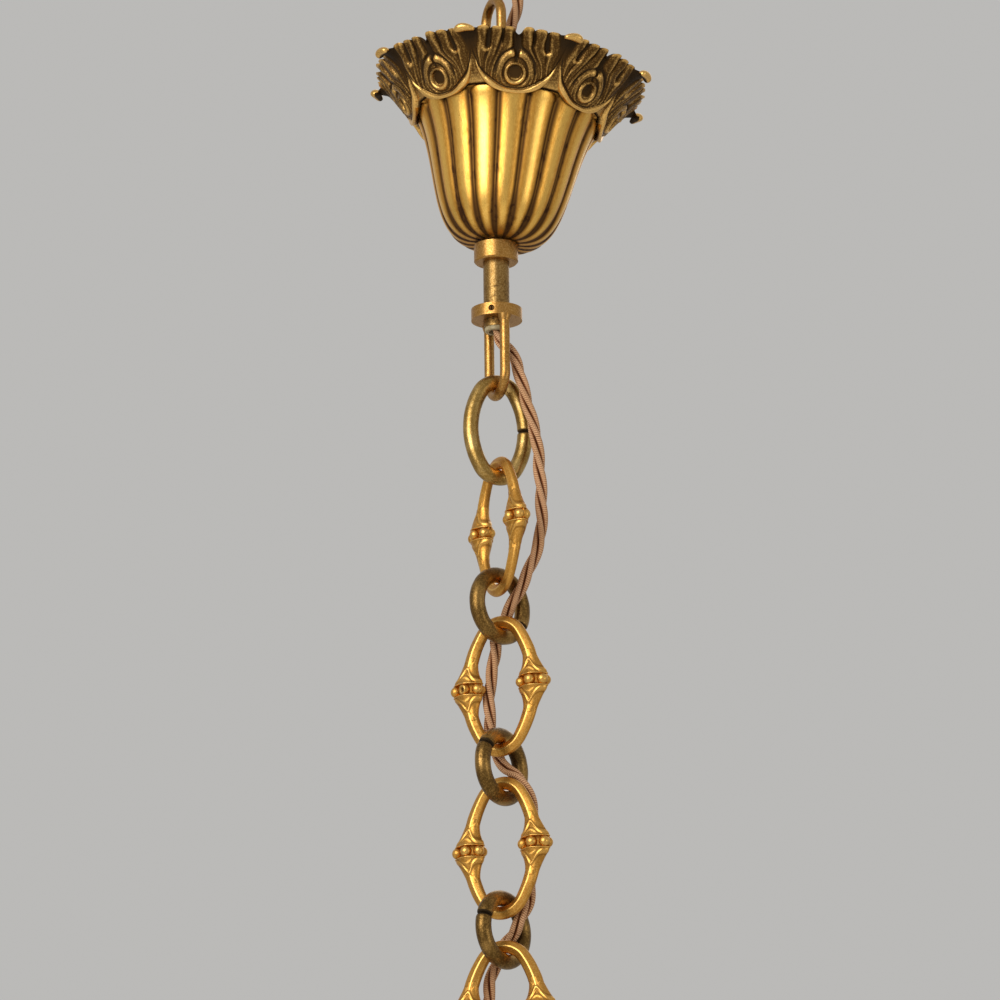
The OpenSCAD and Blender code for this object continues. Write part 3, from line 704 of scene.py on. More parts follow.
# %% The leaves
def leaf_limits(x, y, u):
    """Where the leaves of a side begin and end, in mm from the middle, and the share of the way between."""
    inner = np.maximum(0.8, 7.4 * (1 - smooth(y / 12.5)))
    outer = 13.5 + 2.9 * smooth((u - 0.22) / 0.5)
    return inner, outer, (np.where(y < 0, np.hypot(x, y), x) - inner) / (outer - inner)


def lobes(share):
    """The place among the three lobes, counted from 0 to 3, and how far the lobe stands out there."""
    place = (share - 0.02) / 0.325
    part = 2 * np.abs(place - np.floor(place) - 0.5)
    return place, np.sqrt(np.maximum(0, 1 - 0.96 * part ** 2.4))


def leaves(share, u, hand):
    """Three leaves with two ribs on each, uneven in height and fading here and there."""
    wavy = 0.03 * np.sin(7 * u + 5 * share + hand) + 0.02 * np.sin(15 * u - 9 * share + 2 * hand)
    place, lobe = lobes(share + wavy)
    lifted = smooth((u - 0.35) / 0.3)
    uneven = 0.6 + 0.4 * np.sin(2.7 * np.floor(2 * place) + 4.2 * u + 1.4 * hand)
    rib = (0.5 + 0.5 * np.cos(2 * math.pi * (2 * place - 0.5))) ** 1.4 * uneven
    in_leaf = smooth((share + 0.04) / 0.07) * smooth((1.01 - share) / 0.07)
    relief = 0.55 + in_leaf * (1.1 * lifted * (lobe - 0.35) + (0.65 - 0.25 * lifted) * rib)
    dark = 0.45 - in_leaf * rib * (0.42 - 0.1 * lifted) + 0.4 * in_leaf * lifted * smooth((0.65 - lobe) / 0.4)
    wear_and_highlight = in_leaf * (0.3 * rib ** 2 + 0.12 * lifted * smooth((lobe - 0.85) / 0.15) * uneven)
    return relief, dark, wear_and_highlight


# %% [markdown]
# The ribs close above the eye in two stout petals with a bright tip. A dark slit, the cleft, runs
# down from the rim to the eye, and a drop is sunk between the outer lobes. Each could be a cutter in
# a boolean, but cutters leave sharp holes, where this casting has soft ones. So each is a smooth bump
# in x, and is added to the relief, the dirt and the shine together.

# %% Eye, petals and slits
def petals(face, x, y):
    """Skins round the lower half of the eye, and a petal on each side that closes over it."""
    relief, dark, wear_and_highlight = face
    dome = np.hypot(x, np.where(y > 0, y / 1.22, y))
    beyond = smooth((dome - 7.2) / 0.6)
    skin = 0.5 + 0.5 * np.cos(2 * math.pi * (dome - 5.5) / 1.5)
    skin = skin * smooth((1.5 - y) / 3) * smooth((7.6 - dome) / 0.8)
    petal = bump((dome - 6.0) / 1.45) * smooth((y + 3) / 5)
    tip = bump(np.hypot(x - 1.7, y - 7.1) / 1.3)
    groove = bump((dome - 7.7) / 0.5) * smooth((y + 1) / 2)
    groove = groove + 0.7 * bump((dome - 4.65) / 0.35) * smooth((y + 3) / 3)
    fine = 0.5 + 0.5 * np.cos(2 * math.pi * (dome - 6.3) / 0.95)
    relief = np.maximum(relief * beyond, 0.5 + 0.45 * skin) + 0.95 * petal + 0.3 * tip - 0.45 * groove
    wear_and_highlight = wear_and_highlight * (1 - petal) * beyond + 0.15 * skin + petal * (0.08 + 0.22 * fine) + 0.5 * tip
    dark = (dark - 0.25 * skin) * (1 - 0.7 * petal) * (1 - tip) + 0.55 * groove
    return relief, dark, wear_and_highlight


def slits(face, x, u, inner, outer):
    """The cleft, wide at the rim, a drop with a bright lip round its foot, and a narrow gap."""
    relief, dark, wear_and_highlight = face
    cleft = smooth((u - 0.4) / 0.05) * bump(x / (0.5 + 0.9 * smooth((u - 0.5) / 0.25)))
    drop_x = x - (inner + 0.69 * (outer - inner))
    drop = smooth((u - 0.63) / 0.04) * bump(drop_x / (0.95 - 0.35 * smooth((u - 0.75) / 0.2)))
    from_foot = np.hypot(drop_x, np.minimum(0, (u - 0.66) * TALL))
    cup = bump((from_foot - 1.35) / 0.5) * smooth((u - 0.55) / 0.03) * smooth((0.8 - u) / 0.12)
    gap = smooth((u - 0.66) / 0.12) * bump((x - (inner + 0.345 * (outer - inner))) / 0.4)
    relief = relief + 0.3 * cup - 1.7 * cleft - 1.4 * drop - 0.8 * gap
    dark = np.maximum.reduce([dark * (1 - 0.8 * cup), 1.25 * cleft, 0.95 * drop, 0.85 * gap])
    wear_and_highlight = (wear_and_highlight * (1 - cup) + 0.6 * cup * smooth((0.7 - u) / 0.05)) * (1 - cleft) * (1 - drop) * (1 - gap)
    return relief, dark, wear_and_highlight


def eye(face, x, y):
    """A thin round ring about a smooth bowl, with painted light: the ring brighter below, painted shade in
    the top of the bowl and its foot brighter.
    """
    relief, dark, wear_and_highlight = face
    away = np.hypot(x, y)
    near = smooth((4.5 - away) / 0.4)
    ring = bump((away - 3.55) / 0.75)
    bowl = smooth((3.1 - away) / 0.9)
    low = np.clip(-y / 3.3, -1, 1)
    # Painted light: shade in the top of the bowl, and the ring and the bowl's foot brighter below
    shade = 0.5 - 0.5 * ring + 0.1 * bowl + 0.35 * bowl * (-low) ** 3
    painted_light = ring * (0.5 + 0.45 * low) + 0.4 * smooth((low - 0.45) / 0.3) * bowl
    relief = relief * (1 - near) + near * (0.6 + 0.9 * ring - 1.3 * bowl)
    return relief, dark * (1 - near) + near * shade, wear_and_highlight * (1 - near) + near * painted_light


# %% [markdown]
# The crescent is stout at its shoulders and thin at its horns, so it is measured square to its edge:
# the rise above the edge, shortened by the edge's slope. A painted shadow runs just inside it. Outside
# it the flare is plain and darker towards the rim, with painted light at its foot, where the crown
# meets the bell. palmette lays all the parts over each other, from the leaves to the crescent, because
# each later one covers what lies below it.

# %% Crescent and palmette
def crescent(face, q, u, wide, share):
    """The crescent round the leaves, and the plain flare outside it."""
    relief, dark, wear_and_highlight = face
    edge = leaf_edge(q)
    slope = (0.792 * q ** 1.4 + 3 * q ** 11) * TALL / wide
    out = (u - edge) * TALL / np.sqrt(1 + slope ** 2)
    thick = 0.3 + 0.65 * smooth((1.02 - q) / 0.35) + 0.38 * bump((q - 0.58) / 0.24)
    band = np.sqrt(np.maximum(0, 1 - ((out - 0.5 * thick) / thick) ** 2)) * smooth((0.5 - edge) / 0.2)
    inside = smooth((out - 1.6 * thick) / 0.8)
    # A painted shadow just inside the crescent
    shadow = bump((out - 1.72 * thick) / 0.4) * smooth((0.6 - edge) / 0.16)
    relief = relief * inside + 0.25 * smooth(out / 0.5) * (1 - inside)
    relief = np.maximum(relief, (0.5 + 0.95 * thick) * band)
    bare = np.maximum(1 - inside, smooth((share - 0.97) / 0.06))
    # The flare darkens towards the rim and takes painted light at its foot
    valley, painted_light = 0.1 + 0.55 * smooth((u - 0.25) / 0.5), 0.5 * smooth((0.32 - u) / 0.2)
    dark = np.maximum(dark * (1 - bare) + valley * bare, 0.95 * shadow) * (1 - band)
    wear_and_highlight = wear_and_highlight * inside * (1 - bare) + painted_light * bare * (1 - inside) + 0.95 * band
    return relief, np.clip(dark, 0, 1), np.clip(wear_and_highlight, 0, 1)


def palmette(p, u):
    """Relief in millimetres, dirt with painted shade, and wear with painted light on a palmette."""
    wide = crown_surface(p, u)[0] * math.pi / PALMETTES
    x, y = np.abs(p) * wide, (u - EYE_U) * TALL
    inner, outer, share = leaf_limits(x, y, u)
    face = leaves(share, u, np.sign(p))
    face = petals(face, x, y)
    face = slits(face, x, u, inner, outer)
    face = eye(face, x, y)
    return crescent(face, np.abs(p), u, wide, share)


# %% [markdown]
# At the rim the lobes stand out, the clefts cut in, and the tips between the palmettes curl away. One
# palmette is worked out in full and will be set eight times round, which keeps all eight alike, as
# castings from one pattern are.

# %% The crown's face
ACROSS, ROWS = 136, 118
p = np.linspace(-1, 1, ACROSS, endpoint=False)[None, :]
start = lower_edge(p)
u = start + (1 - start) * (np.linspace(0, 1, ROWS) ** 0.97)[:, None]
relief, dirt_and_shade, wear_and_highlight = palmette(p, u)
at_rim = np.abs(p) * RIM_R * math.pi / PALMETTES
place, lobe = lobes((at_rim - 0.8) / 15.6)
lobe = lobe * (0.85 + 0.15 * np.sin(5 * np.floor(place) + np.sign(p)))
lobe = np.where((place > 0) & (place < 3), lobe, 0.3)
cleft, tip = bump(at_rim / 1.5), bump((1 - np.abs(p)) / 0.17)
rim = 1.5 * (lobe - 0.6) * (1 - tip) - 1.5 * cleft + 3.4 * tip

radius, height = crown_surface(p, u)
curl = smooth((u - 0.85) / 0.15)
radius = radius + rim * u ** 4 + 0.75 * relief * (1 - 0.3 * curl)
rise = (1.3 * (lobe - 0.7) - 1.8 * cleft) * curl * (1 - tip) - 1.2 * tip * curl
height = height - 0.6 * relief * (1 - 0.7 * curl) + rise
# Painted shadow on the spout between two palmettes, under its knob; the curled lobes lose some dirt
dirt_and_shade = np.clip(dirt_and_shade * (1 - 0.6 * curl * (lobe > 0.55)) + 0.5 * tip * smooth((u - 0.7) / 0.25), 0, 1)
rubbed = smooth((u - 0.93) / 0.06) * smooth((lobe - 0.5) / 0.3) * (1 - cleft) * (1 - tip)
wear_and_highlight = np.clip(wear_and_highlight + 0.9 * rubbed, 0, 1)
print("a palmette stands", round(float(relief.max()), 2), "mm proud of the flare")

# %% [markdown]
# The inside follows the flare 1.5 mm below it, with the rim's lobes and clefts but without the
# carving, which a casting this thick doesn't show behind. The inside of the lower edge runs up along
# the bell's mouth. Then the one palmette is set eight times round.

# %% The inside of the crown
CROWN_WALL = 1.5
inner_u = np.linspace(1, 0.22, 12)[:, None]
inner_radius, inner_height = crown_surface(p, inner_u)
inner_radius = inner_radius - CROWN_WALL + rim * inner_u ** 4
rise = (0.8 * (lobe - 0.7) - 1.4 * cleft - 1.6 * tip) * smooth((inner_u - 0.8) / 0.2)
inner_height = inner_height + 1.1 + rise - 0.7 * smooth((inner_u - 0.9) / 0.1)
foot = crown_surface(p, start)[1]
lower_height = np.vstack([np.full((1, ACROSS), 5.0), 0.6 * foot + 0.8, foot])
lower_radius = 35.15 + 0.5 * np.maximum(0, lower_height - 1.4)

unseen = np.ones((len(inner_height) + len(lower_height), ACROSS))
arrays = [np.vstack([radius, inner_radius, lower_radius]), np.vstack([height, inner_height, lower_height]),
          np.vstack([dirt_and_shade, 0.6 * unseen]), np.vstack([wear_and_highlight, 0 * unseen])]
radii, heights, dirt_and_shade_rows, rub_and_highlight_rows = [np.tile(array, (1, PALMETTES)) for array in arrays]
cols = PALMETTES * ACROSS
turn = np.radians(TURN + (np.arange(cols) / ACROSS - 0.5) * 360 / PALMETTES)
shell = around_axis(radii, turn, heights + CROWN_Z)
parts = [(leaning(shell), grid_faces(len(shell), cols, loop=True), {"dirt_and_shade": dirt_and_shade_rows, "wear_and_highlight": rub_and_highlight_rows})]
print("the crown's shell has", len(shell), "rows of", cols, "points")

# %% [markdown]
# A flat bean rolls out over the rim in each valley between two palmettes. A squashed ball would be
# too regular, so each is a bent and tapered ball with lumps of its own, with painted shade on its
# underside and a painted highlight on its top.

# %% The knobs on the rim
KNOB_R, KNOB_Z = 55.4, 18.2
grid_of = [np.linspace(0, math.pi, 30), np.linspace(0, 2 * math.pi, 44, endpoint=False)]
bend, round_it = np.meshgrid(*grid_of, indexing="ij")
plump = np.sin(bend) ** 0.8
# Painted shade on the underside and the inner side of each knob
painted_underside_shade = smooth((-np.sin(round_it) * 0.7 - np.cos(round_it) * 0.7 - 0.5) / 0.4)
for k in range(PALMETTES):
    heading = math.radians(TURN + 360 / PALMETTES * (k + 0.5))
    along_rim = (3.9 + 0.3 * math.sin(2.1 * k)) * np.cos(bend)
    lump = 1 + 0.14 * np.sin(2.2 * bend + 1.3 * k)
    outward = KNOB_R + 2.1 * lump * plump * np.cos(round_it) - 0.5 * np.cos(bend) ** 2
    upward = CROWN_Z + KNOB_Z + 1.65 * lump * plump * np.sin(round_it) - 0.7 * np.cos(bend) ** 2
    x = outward * math.cos(heading) - along_rim * math.sin(heading)
    y = outward * math.sin(heading) + along_rim * math.cos(heading)
    # Painted shade below and a painted highlight above
    numbers = {"dirt_and_shade": 0.75 * painted_underside_shade, "wear_and_highlight": 0.85 * (1 - painted_underside_shade)}
    parts.append((leaning(np.stack([x, y, upward], -1)), grid_faces(*x.shape), numbers))
crown = join("leaf_crown", parts)
finish_piece(crown, "canopy", "canopy_crown", crown_brass)

# %% [markdown]
# The long ring and the links are ovals of four arcs, as rod bent on a former takes. A curve object
# with a bevel would sweep a round rod along one, but the links have ridges and both have wear, which
# need rows and columns of points. oval gives points along an oval and the directions out of it, in
# the plane of X and Z, and sweep_oval carries a section round them.

# %% Oval rods
def oval(half_h, half_w, r, count):
    """Points and outward directions round an oval whose ends have radius r, and its length."""
    end = half_h - r
    side = (half_w ** 2 + end ** 2 - r * r) / (2 * (half_w - r))
    meet = math.atan2(end, side - half_w)
    # Each arc's centre, radius, and angles at its start and finish
    arcs = [((half_w - side, 0), side, -meet, meet), ((0, end), r, meet, math.pi - meet),
            ((side - half_w, 0), side, math.pi - meet, math.pi + meet),
            ((0, -end), r, math.pi + meet, 2 * math.pi - meet)]
    lengths = [rad * (e - s) for _, rad, s, e in arcs]
    total = sum(lengths)
    where = (np.arange(count) / count * total + lengths[0] / 2) % total
    points, outs = np.zeros((count, 2)), np.zeros((count, 2))
    start = 0.0
    for (centre, rad, s, e), length in zip(arcs, lengths):
        mine = (where >= start) & (where < start + length + 1e-9)
        phi = s + (where[mine] - start) / rad
        outs[mine] = np.stack([np.cos(phi), np.sin(phi)], -1)
        points[mine] = np.array(centre) + rad * outs[mine]
        start += length
    return points, outs, total


def sweep_oval(points, outs, section, scale):
    """Section points (out, depth), scaled point by point and swept along the oval."""
    sec = section[None] * scale[:, None, :]
    x = points[:, None, 0] + outs[:, None, 0] * sec[..., 0]
    z = points[:, None, 1] + outs[:, None, 1] * sec[..., 0]
    return np.stack([x, np.broadcast_to(sec[..., 1], x.shape), z], -1)


# %% [markdown]
# Each ring is bent from 6 mm wire and sawn open at one place. A torus would do for the round ones but
# for its split, so every ring is swept from one side of its split to the other. The seats at top and
# bottom, where the next piece rubs, are bright, and the wire carries small dents.

# %% A ring with a split
WIRE, SPLIT, WIRE_SIDES = 6.0, 0.5, 28


def ring_piece(name, points, outs, centre_z, turn, seed, tarnish=0.0):
    """A ring of wire along an open run of points, with rounded ends and an even share of tarnish."""
    a = 2 * math.pi * np.arange(WIRE_SIDES) / WIRE_SIDES
    section = np.stack([np.cos(a), np.sin(a)], -1) * WIRE / 2
    shrink = np.ones((len(points), 2))
    for k, size in ((0, 0.86), (1, 0.95), (2, 0.99)):
        shrink[k] = shrink[-1 - k] = size
    flat = sweep_oval(points, outs, section, shrink).reshape(-1, 3)
    dents = ripple(flat, 6.0, seed) * 0.03 + ripple(flat, 2.2, seed + 1) * 0.008
    middle = np.repeat(np.stack([points[:, 0], 0 * points[:, 0], points[:, 1]], -1), WIRE_SIDES, 0)
    way = flat - middle
    flat = flat + way / np.maximum(np.linalg.norm(way, axis=1), 1e-6)[:, None] * dents[:, None]
    rows = len(points)
    inner = np.tile(smooth((-np.cos(a) - 0.1) / 0.8), rows)
    seat = smooth((np.abs(middle[:, 2]) / np.abs(points[:, 1]).max() - 0.82) / 0.15)
    ends = np.zeros((rows, WIRE_SIDES))
    ends[:2] = ends[-2:] = 0.9
    dirt_and_shade = np.clip(tarnish + inner * 0.35 * (1 - seat) + ends.reshape(-1), 0, 1)
    wear_and_highlight = np.clip(inner * seat + 0.45 * smooth(ripple(flat, 9.0, seed + 2) + 0.3), 0, 1)
    placed = turned(flat, turn, (0, 0, centre_z))
    return mesh_object(name, placed, tube_faces(rows, WIRE_SIDES), {"dirt_and_shade": dirt_and_shade, "wear_and_highlight": wear_and_highlight})


# %% [markdown]
# The first ring is long, to let the flex out beside it, and the others are round. Both kinds come
# from one function, because they are one kind of wire. The last three are browner than the second.

# %% The five rings
RING_TURNS, RING_SPLITS = [20, 45, 54, 52, 50], [0, -32, 147, 162, 150]
# The long ring's half height, half width, radius at its ends and number of points
LONG_HALF_H, LONG_HALF_W, LONG_END_R, LONG_STEPS = 19, 11, 8, 400
RING_R = 12

points, outs, total = oval(LONG_HALF_H, LONG_HALF_W, LONG_END_R, LONG_STEPS)
gap = SPLIT / total
phase = (np.linspace(0, 1, 230) * (1 - gap) + gap / 2) * LONG_STEPS


def at_phase(values):
    """Pairs of values round the oval, between its split's two sides."""
    closed = np.vstack([values, values[:1]])
    return np.stack([np.interp(phase, np.arange(LONG_STEPS + 1), closed[:, k]) for k in (0, 1)], -1)


outs = at_phase(outs)
outs /= np.linalg.norm(outs, axis=1)[:, None]
piece = ring_piece("long_ring", at_phase(points), outs, ring_1_top - RING_1_H / 2, RING_TURNS[0], 11)
finish_piece(piece, "ring_1", "ring_1", long_ring_brass)

for i in range(2, 6):
    open_by = SPLIT / RING_R
    phi = math.radians(RING_SPLITS[i - 1]) + open_by / 2 + np.linspace(0, 2 * math.pi - open_by, 190)
    outs = np.stack([np.cos(phi), np.sin(phi)], -1)
    tarnish = 0.0 if i == 2 else 0.2
    centre_z = ring_top(i) - RING_H / 2
    piece = ring_piece(f"round_ring_{i}", RING_R * outs, outs, centre_z, RING_TURNS[i - 1], 20 * i, tarnish)
    finish_piece(piece, f"ring_{i}", f"ring_{i}", ring_bronze)

# %% [markdown]
# A link is cast in one piece. Its rod has a sharp ridge along its front and back, and on each arm
# sits a lozenge knop. Lathe work would only give round knops, so every level of a knop is a lozenge
# instead, whose corners are softened by raising its two half widths to a power: at 1 they would be
# sharp, and at 2 the lozenge would be an ellipse.

# %% The rod and the lozenge
# Half the link's width and the radius of its long sides, which its knops follow
ARM_X, SIDE_R = LINK_W / 2, 37.4


def rod_profile():
    """The rod's section as (out, depth), with crisp ridges and shoulders."""
    quarter = [(0, 2.12), (0.24, 2.08), (0.5, 1.96), (1.1, 1.62), (1.7, 1.3), (2.0, 1.1), (2.22, 0.84),
               (2.4, 0.5), (2.5, 0.2)]
    side = quarter + [(x, -y) for x, y in quarter[::-1]]
    return np.array(side + [(-x, y) for x, y in side[::-1][1:-1]])


def lozenge_at(phi, w, d, soft=1.5):
    """Radius of a lozenge of full width w and depth d in the direction phi, with softened corners."""
    c, s = np.abs(np.cos(phi)), np.abs(np.sin(phi))
    return ((2 * c / w) ** soft + (2 * s / d) ** soft) ** (-1 / soft)


# %% [markdown]
# A knop has a sunk band with an upright post at its outer corners, two thin lips, and a pointed leaf
# cup on each side that closes on the rod. Each leaf has a raised edge with a groove inside it. It
# could be cut from a block, but as a stack of levels, from the tip of a cup down to the middle of the
# band, every edge can follow the lozenge. The other half is the same stack turned over.

# %% The cups and the band of a knop
HALF_BAND, CUP_H, POST_R, SUNK_BELOW = 2.5, 9.8, 6.2, 2.1
# The lip and then the sunk band, which has the post: width, depth, height, dirt and shine of each level
LEVELS = ((12.7, 8.6, 2.46, 0.1, 0.7), (12.9, 8.8, 2.3, 0, 0.8), (12.6, 8.5, 2.12, 0.25, 0.5),
          (11.4, 7.4, 2.0, 0.35, 0), (9.8, 5.9, 1.85, 0.45, 0), (9.4, 5.5, 0.9, 0.45, 0))


def half_knop(phi, end):
    """Radius, height, dirt and shine at each level of a half, from the cup's tip inwards. end is -1 or 1."""
    rod = 1 / np.sqrt((np.cos(phi) / 2.72) ** 2 + (np.sin(phi) / 2.3) ** 2)
    tip = np.abs(np.sin(phi))
    post = bump(np.sin(phi) / 0.055)
    rows = []
    for h in np.linspace(CUP_H, 0, 46):
        share = np.clip(1 - h / (9.4 - 3.2 * tip ** 2), 0, 1)
        rad = rod + (lozenge_at(phi, 12.4, 8.3) - rod) * share ** 1.6
        edge = 1.2 + 4.6 * tip ** 4
        line = bump((h - edge) / 0.8)
        groove = bump((h - edge + 1.15) / 0.5) * smooth((edge - 0.9) / 0.8)
        second = bump((h - edge * 0.42) / 0.5) * smooth((edge - 2.2) / 1.2)
        rad = (rad + 0.27 * line - 0.24 * groove + 0.2 * second) * np.where(share == 0, 0.93, 1)
        above = smooth((h - edge - 0.6) / 0.5) * smooth((edge + 2.6 - h) / 1.6)
        dirty = 0.5 * groove + 0.55 * above + 0.25 * smooth((0.5 - h) / 0.4)
        rows.append((rad, end * (HALF_BAND + h), dirty * (1 - 0.8 * line), 0.4 * line + 0.25 * second))
    for w, d, z, dirty, bright in LEVELS:
        rad = lozenge_at(phi, w, d)
        if z < SUNK_BELOW:
            rad = rad + (POST_R - rad) * post
            dirty, bright = dirty * (1 - post) + 0.25 * post, 0.1 * post
        rows.append((rad, end * z, dirty, bright))
    return rows


# %% [markdown]
# Six beads sit in the band: one in front, one behind and two on each flat. They are plain balls,
# because a casting rounds them anyway. One ball could be copied six times, but each carries painted
# shade where it faces the band and is rubbed where it faces out, so its points are worked out afresh.
# The second link's front bead on the left has a casting hole, with painted shade in it and a painted
# highlight round its lip. A boolean would cut it with a sharp edge, so it is pressed into the ball instead.

# %% The beads and the whole knop
BEAD_R, KNOP_SIDES = 2.2, 96
BEADS = ((0, -2.75), (4.6, -1.15), (4.6, 1.15), (0, 2.75), (-4.6, 1.15), (-4.6, -1.15))
toward_hole = np.array([-0.35, -0.92, -0.12])
toward_hole /= np.linalg.norm(toward_hole)


def bead(k, a, b, pitted):
    """A bead round its own middle, with painted shade towards the band and its shine. k is its place in the
    belt.
    """
    grid_of = [np.linspace(0, math.pi, 21), np.linspace(0, 2 * math.pi, 32, endpoint=False)]
    lat, lon = np.meshgrid(*grid_of, indexing="ij")
    unit = np.stack([np.sin(lat) * np.cos(lon), np.sin(lat) * np.sin(lon), np.cos(lat)], -1)
    outward = unit @ (np.array([a * 0.3, b, 0]) / math.hypot(a * 0.3, b))
    ball = unit * (BEAD_R - 0.04 * (k % 3))
    # Painted shade where the bead faces the band, and rubbing where it faces out
    dark = 0.8 * smooth(0.1 - outward)
    shiny = 0.5 * smooth((outward - 0.35) / 0.5)
    if pitted:
        # Painted shade in the hole and a painted highlight round its lip
        near = smooth((unit @ toward_hole - 0.72) / 0.14)
        ball = ball * (1 - 0.6 * near[..., None])
        dark, shiny = np.maximum(dark, near), bump((unit @ toward_hole - 0.7) / 0.1)
    return ball, {"dirt_and_shade": dark, "wear_and_highlight": shiny}


def knop_parts(side, pitted):
    """The cups, the band and the beads of the knop on one arm, side -1 or 1."""
    turn = 2 * math.pi * np.arange(KNOP_SIDES) / KNOP_SIDES
    phi = turn - 0.35 * np.sin(2 * turn)
    stack = half_knop(phi, -1) + half_knop(phi, 1)[::-1]
    at = np.array([z for _, z, _, _ in stack])[:, None]
    rad, dirt_and_shade, wear_and_highlight = [np.array([np.broadcast_to(row[k], phi.shape) for row in stack]) for k in (0, 2, 3)]
    arm = side * (ARM_X - at * at / (2 * SIDE_R))
    body = np.stack([rad * np.cos(phi) + arm, rad * np.sin(phi), np.broadcast_to(at, rad.shape)], -1)
    numbers = {"dirt_and_shade": np.clip(dirt_and_shade, 0, 1), "wear_and_highlight": np.clip(wear_and_highlight, 0, 1)}
    parts = [(body, tube_faces(len(stack), KNOP_SIDES), numbers)]
    for k, (a, b) in enumerate(BEADS):
        ball, numbers = bead(k, a, b, pitted and k == 0)
        middle = np.array([a + side * ARM_X, b, 0.06 * (-1) ** k])
        parts.append((ball + middle, grid_faces(*ball.shape[:2]), numbers))
    return parts


# %% [markdown]
# The rod is swept round the oval and is a little stouter at its arms. It is cast, not drawn, so it
# wanders by a few hundredths of a millimetre, but not at its ends, where it has to meet the rings.
# The ends are rubbed bright inside. The inner face carries painted shade, the ridges are rubbed and
# carry a painted highlight, and the shoulders a thin painted highlight line.

# %% The four links
LINK_HALF_H, LINK_END_R, ROD_STEPS = 25, 9.5, 260
section = rod_profile()
# Rubbing and a painted highlight along the ridges, a thin painted highlight on the shoulders, and painted
# shade on the inner face
ridge_wear_and_highlight = 0.7 * bump((np.abs(section[:, 1]) - 2.12) / 0.1)
shoulder = bump((np.abs(section[:, 1]) - 1.1) / 0.15) * 0.3
inner = (section[:, 0] < -1.9) * 1.0
points, outs, _ = oval(LINK_HALF_H, ARM_X, LINK_END_R, ROD_STEPS)
stout = smooth(1.6 * np.clip(1 - np.abs(points[:, 1]) / 24, 0, 1))
rod = sweep_oval(points, outs, section, np.stack([1 + 0.13 * stout, 1 + 0.05 * stout], -1)).reshape(-1, 3)
seat = smooth((np.abs(points[:, 1]) - 22.2) / 2)[:, None]
rod_numbers = {"dirt_and_shade": np.clip(0.4 * inner * (1 - seat) * (1 - ridge_wear_and_highlight), 0, 1),
               "wear_and_highlight": np.clip(ridge_wear_and_highlight + shoulder + seat * inner, 0, 1)}
rod_faces = grid_faces(ROD_STEPS, len(section), loop=True)
for i in range(1, 5):
    wander = np.stack([ripple(rod, 9.0, 300 + 10 * k + i) for k in range(3)], -1) * 0.05
    flat = rod + wander * (1 - smooth((np.abs(rod[:, 2]) - 19) / 3))[:, None]
    parts = [(flat, rod_faces, rod_numbers)]
    for side in (-1, 1):
        parts += knop_parts(side, pitted=(i == 2 and side < 0))
    place = (0, 0, link_top(i) - LINK_H / 2)
    parts = [(turned(q.reshape(-1, 3), LINK_TURNS[i - 1], place), f, v) for q, f, v in parts]
    piece = join(f"beaded_link_{i}", parts)
    finish_piece(piece, f"link_{i}", f"link_{i}", link_brass)

# %% [markdown]
# The collar, the stem, the two loops with their discs, the bushes, the grub screws and the connectors
# have the right shape in the CAD model already. Making them again would only give a second shape to
# keep in step, so each keeps its solid's mesh and takes a material. The connectors get a small bevel
# that catches the light, and the others a clean edge where their faces meet at an angle.

# %% Pieces that keep their CAD shape
CREASE = math.radians(35)


def dress(name, material, bevel=0.0):
    """The CAD node takes its material, and a bevel of that width in mm or else split edges."""
    node = nodes[name]
    node.data.materials.clear()
    node.data.materials.append(material)
    node.data.polygons.foreach_set("use_smooth", [True] * len(node.data.polygons))
    if bevel:
        m = node.modifiers.new("bevel", "BEVEL")
        m.width, m.segments, m.limit_method, m.angle_limit = bevel * MM, 2, "ANGLE", CREASE
        m.harden_normals = False
    else:
        node.modifiers.new("edges", "EDGE_SPLIT").split_angle = CREASE
    print(name, "keeps its shape and takes", material.name)


for name in ("top_loop", "lower_loop"):
    dress(name, loop_brass)
dress("canopy_collar", loop_brass)
dress("stem_tube", stem_brass)
for name in ("top_bush", "lower_bush"):
    dress(name, fibre)
for name in ("top_lock_screw", "lower_lock_screw", "collar_screw"):
    dress(name, steel)
for name in ("top_connector", "lower_connector"):
    dress(name, plastic, bevel=0.4)

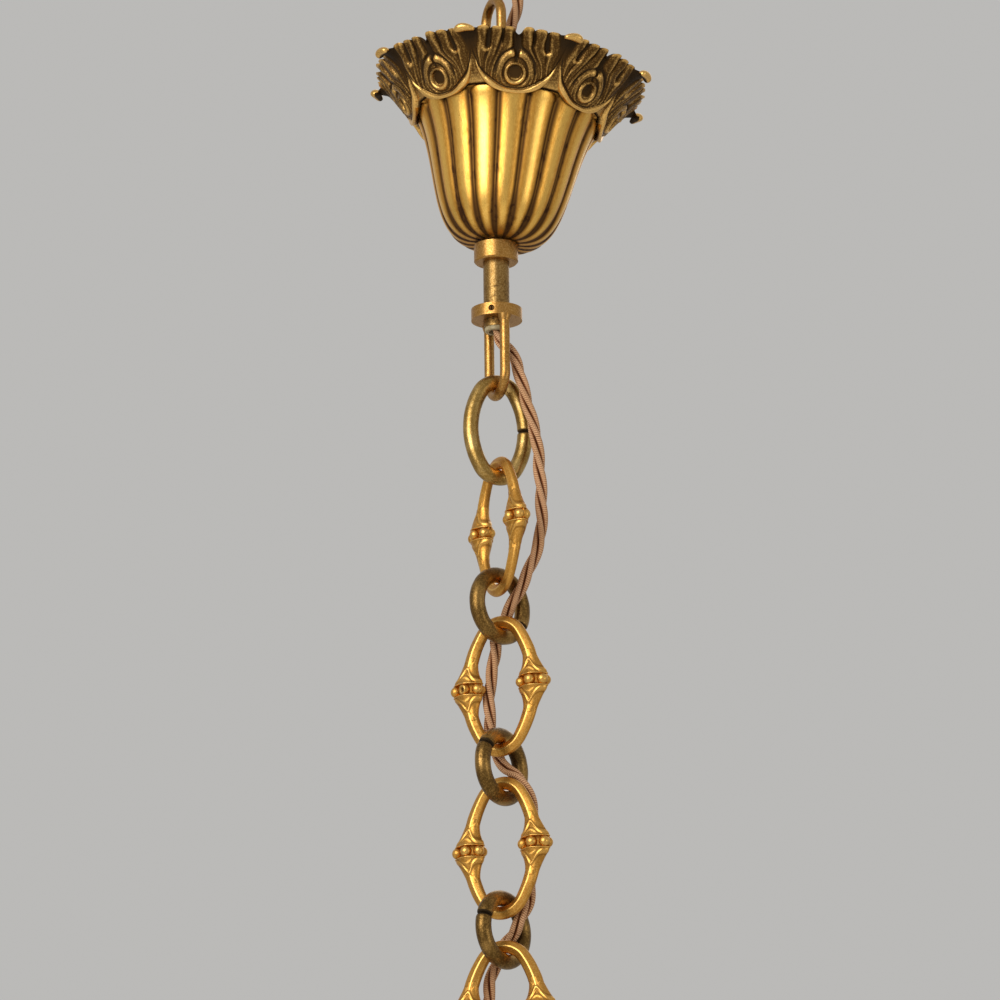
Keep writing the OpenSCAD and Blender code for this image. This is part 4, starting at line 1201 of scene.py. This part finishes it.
# %% [markdown]
# The floor and the background are pale and plain, so that the brass stands out. Coloured surroundings
# would give richer reflections, but they would stain the metal's own colour. The light comes from a
# broad lamp at the upper left, which gives the long soft highlights on the reeds, with weaker lamps
# at the right and behind, and the world fills the rest.

# %% Floor, background and light
FLOOR_Z, FLOOR_HALF = -1300, 60000
corners = ((-1, -1), (1, -1), (1, 1), (-1, 1))
floor = mesh_object("floor", [[x * FLOOR_HALF, y * FLOOR_HALF, FLOOR_Z] for x, y in corners], [[0, 1, 2, 3]])
floor_finish = Finish("pale floor")
shade = floor_finish.noise(900.0, 2.0)
floor_finish.set("Base Color", floor_finish.mix(shade, "dcdad6", "e2e0dc"))
floor_finish.set("Roughness", 0.8)
floor.data.materials.append(floor_finish.material)
floor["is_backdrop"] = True

world = bpy.data.worlds.new("world")
scene.world = world
world.use_nodes = True
background = world.node_tree.nodes["Background"]
background.inputs["Color"].default_value = (0.80, 0.79, 0.77, 1)
background.inputs["Strength"].default_value = 0.62


def lamp(name, place, aim, size, watts):
    """A square lamp of that size in metres, turned towards a point."""
    data = bpy.data.lights.new(name, "AREA")
    data.shape, data.size, data.energy = "SQUARE", size, watts
    made = bpy.data.objects.new(name, data)
    made.location = place
    made.rotation_mode = "QUATERNION"
    made.rotation_quaternion = (Vector(aim) - Vector(place)).to_track_quat("-Z", "Y")
    scene.collection.objects.link(made)
    print("lamp", name, "of", watts, "W")


lamp("key", (-1.1, -1.7, 0.3), (0, 0, -0.2), 1.6, 32)
lamp("fill", (1.5, -1.2, -0.4), (0, 0, -0.2), 0.8, 3)
lamp("rim", (0.4, 1.6, 0.9), (0, 0, -0.1), 1.2, 4)
scene.view_settings.view_transform = "Standard"

# %% [markdown]
# The scene's own box is written down beside the solids' box, so that the two can be compared: the
# casting may stand a little proud of its solid, but no more.

# %% Size and finish
low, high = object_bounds()
grown = [[round((a - b) / MM, 2) for a, b in zip(x, y)] for x, y in ((low, cad_low), (high, cad_high))]
print("grown by", grown, "mm")
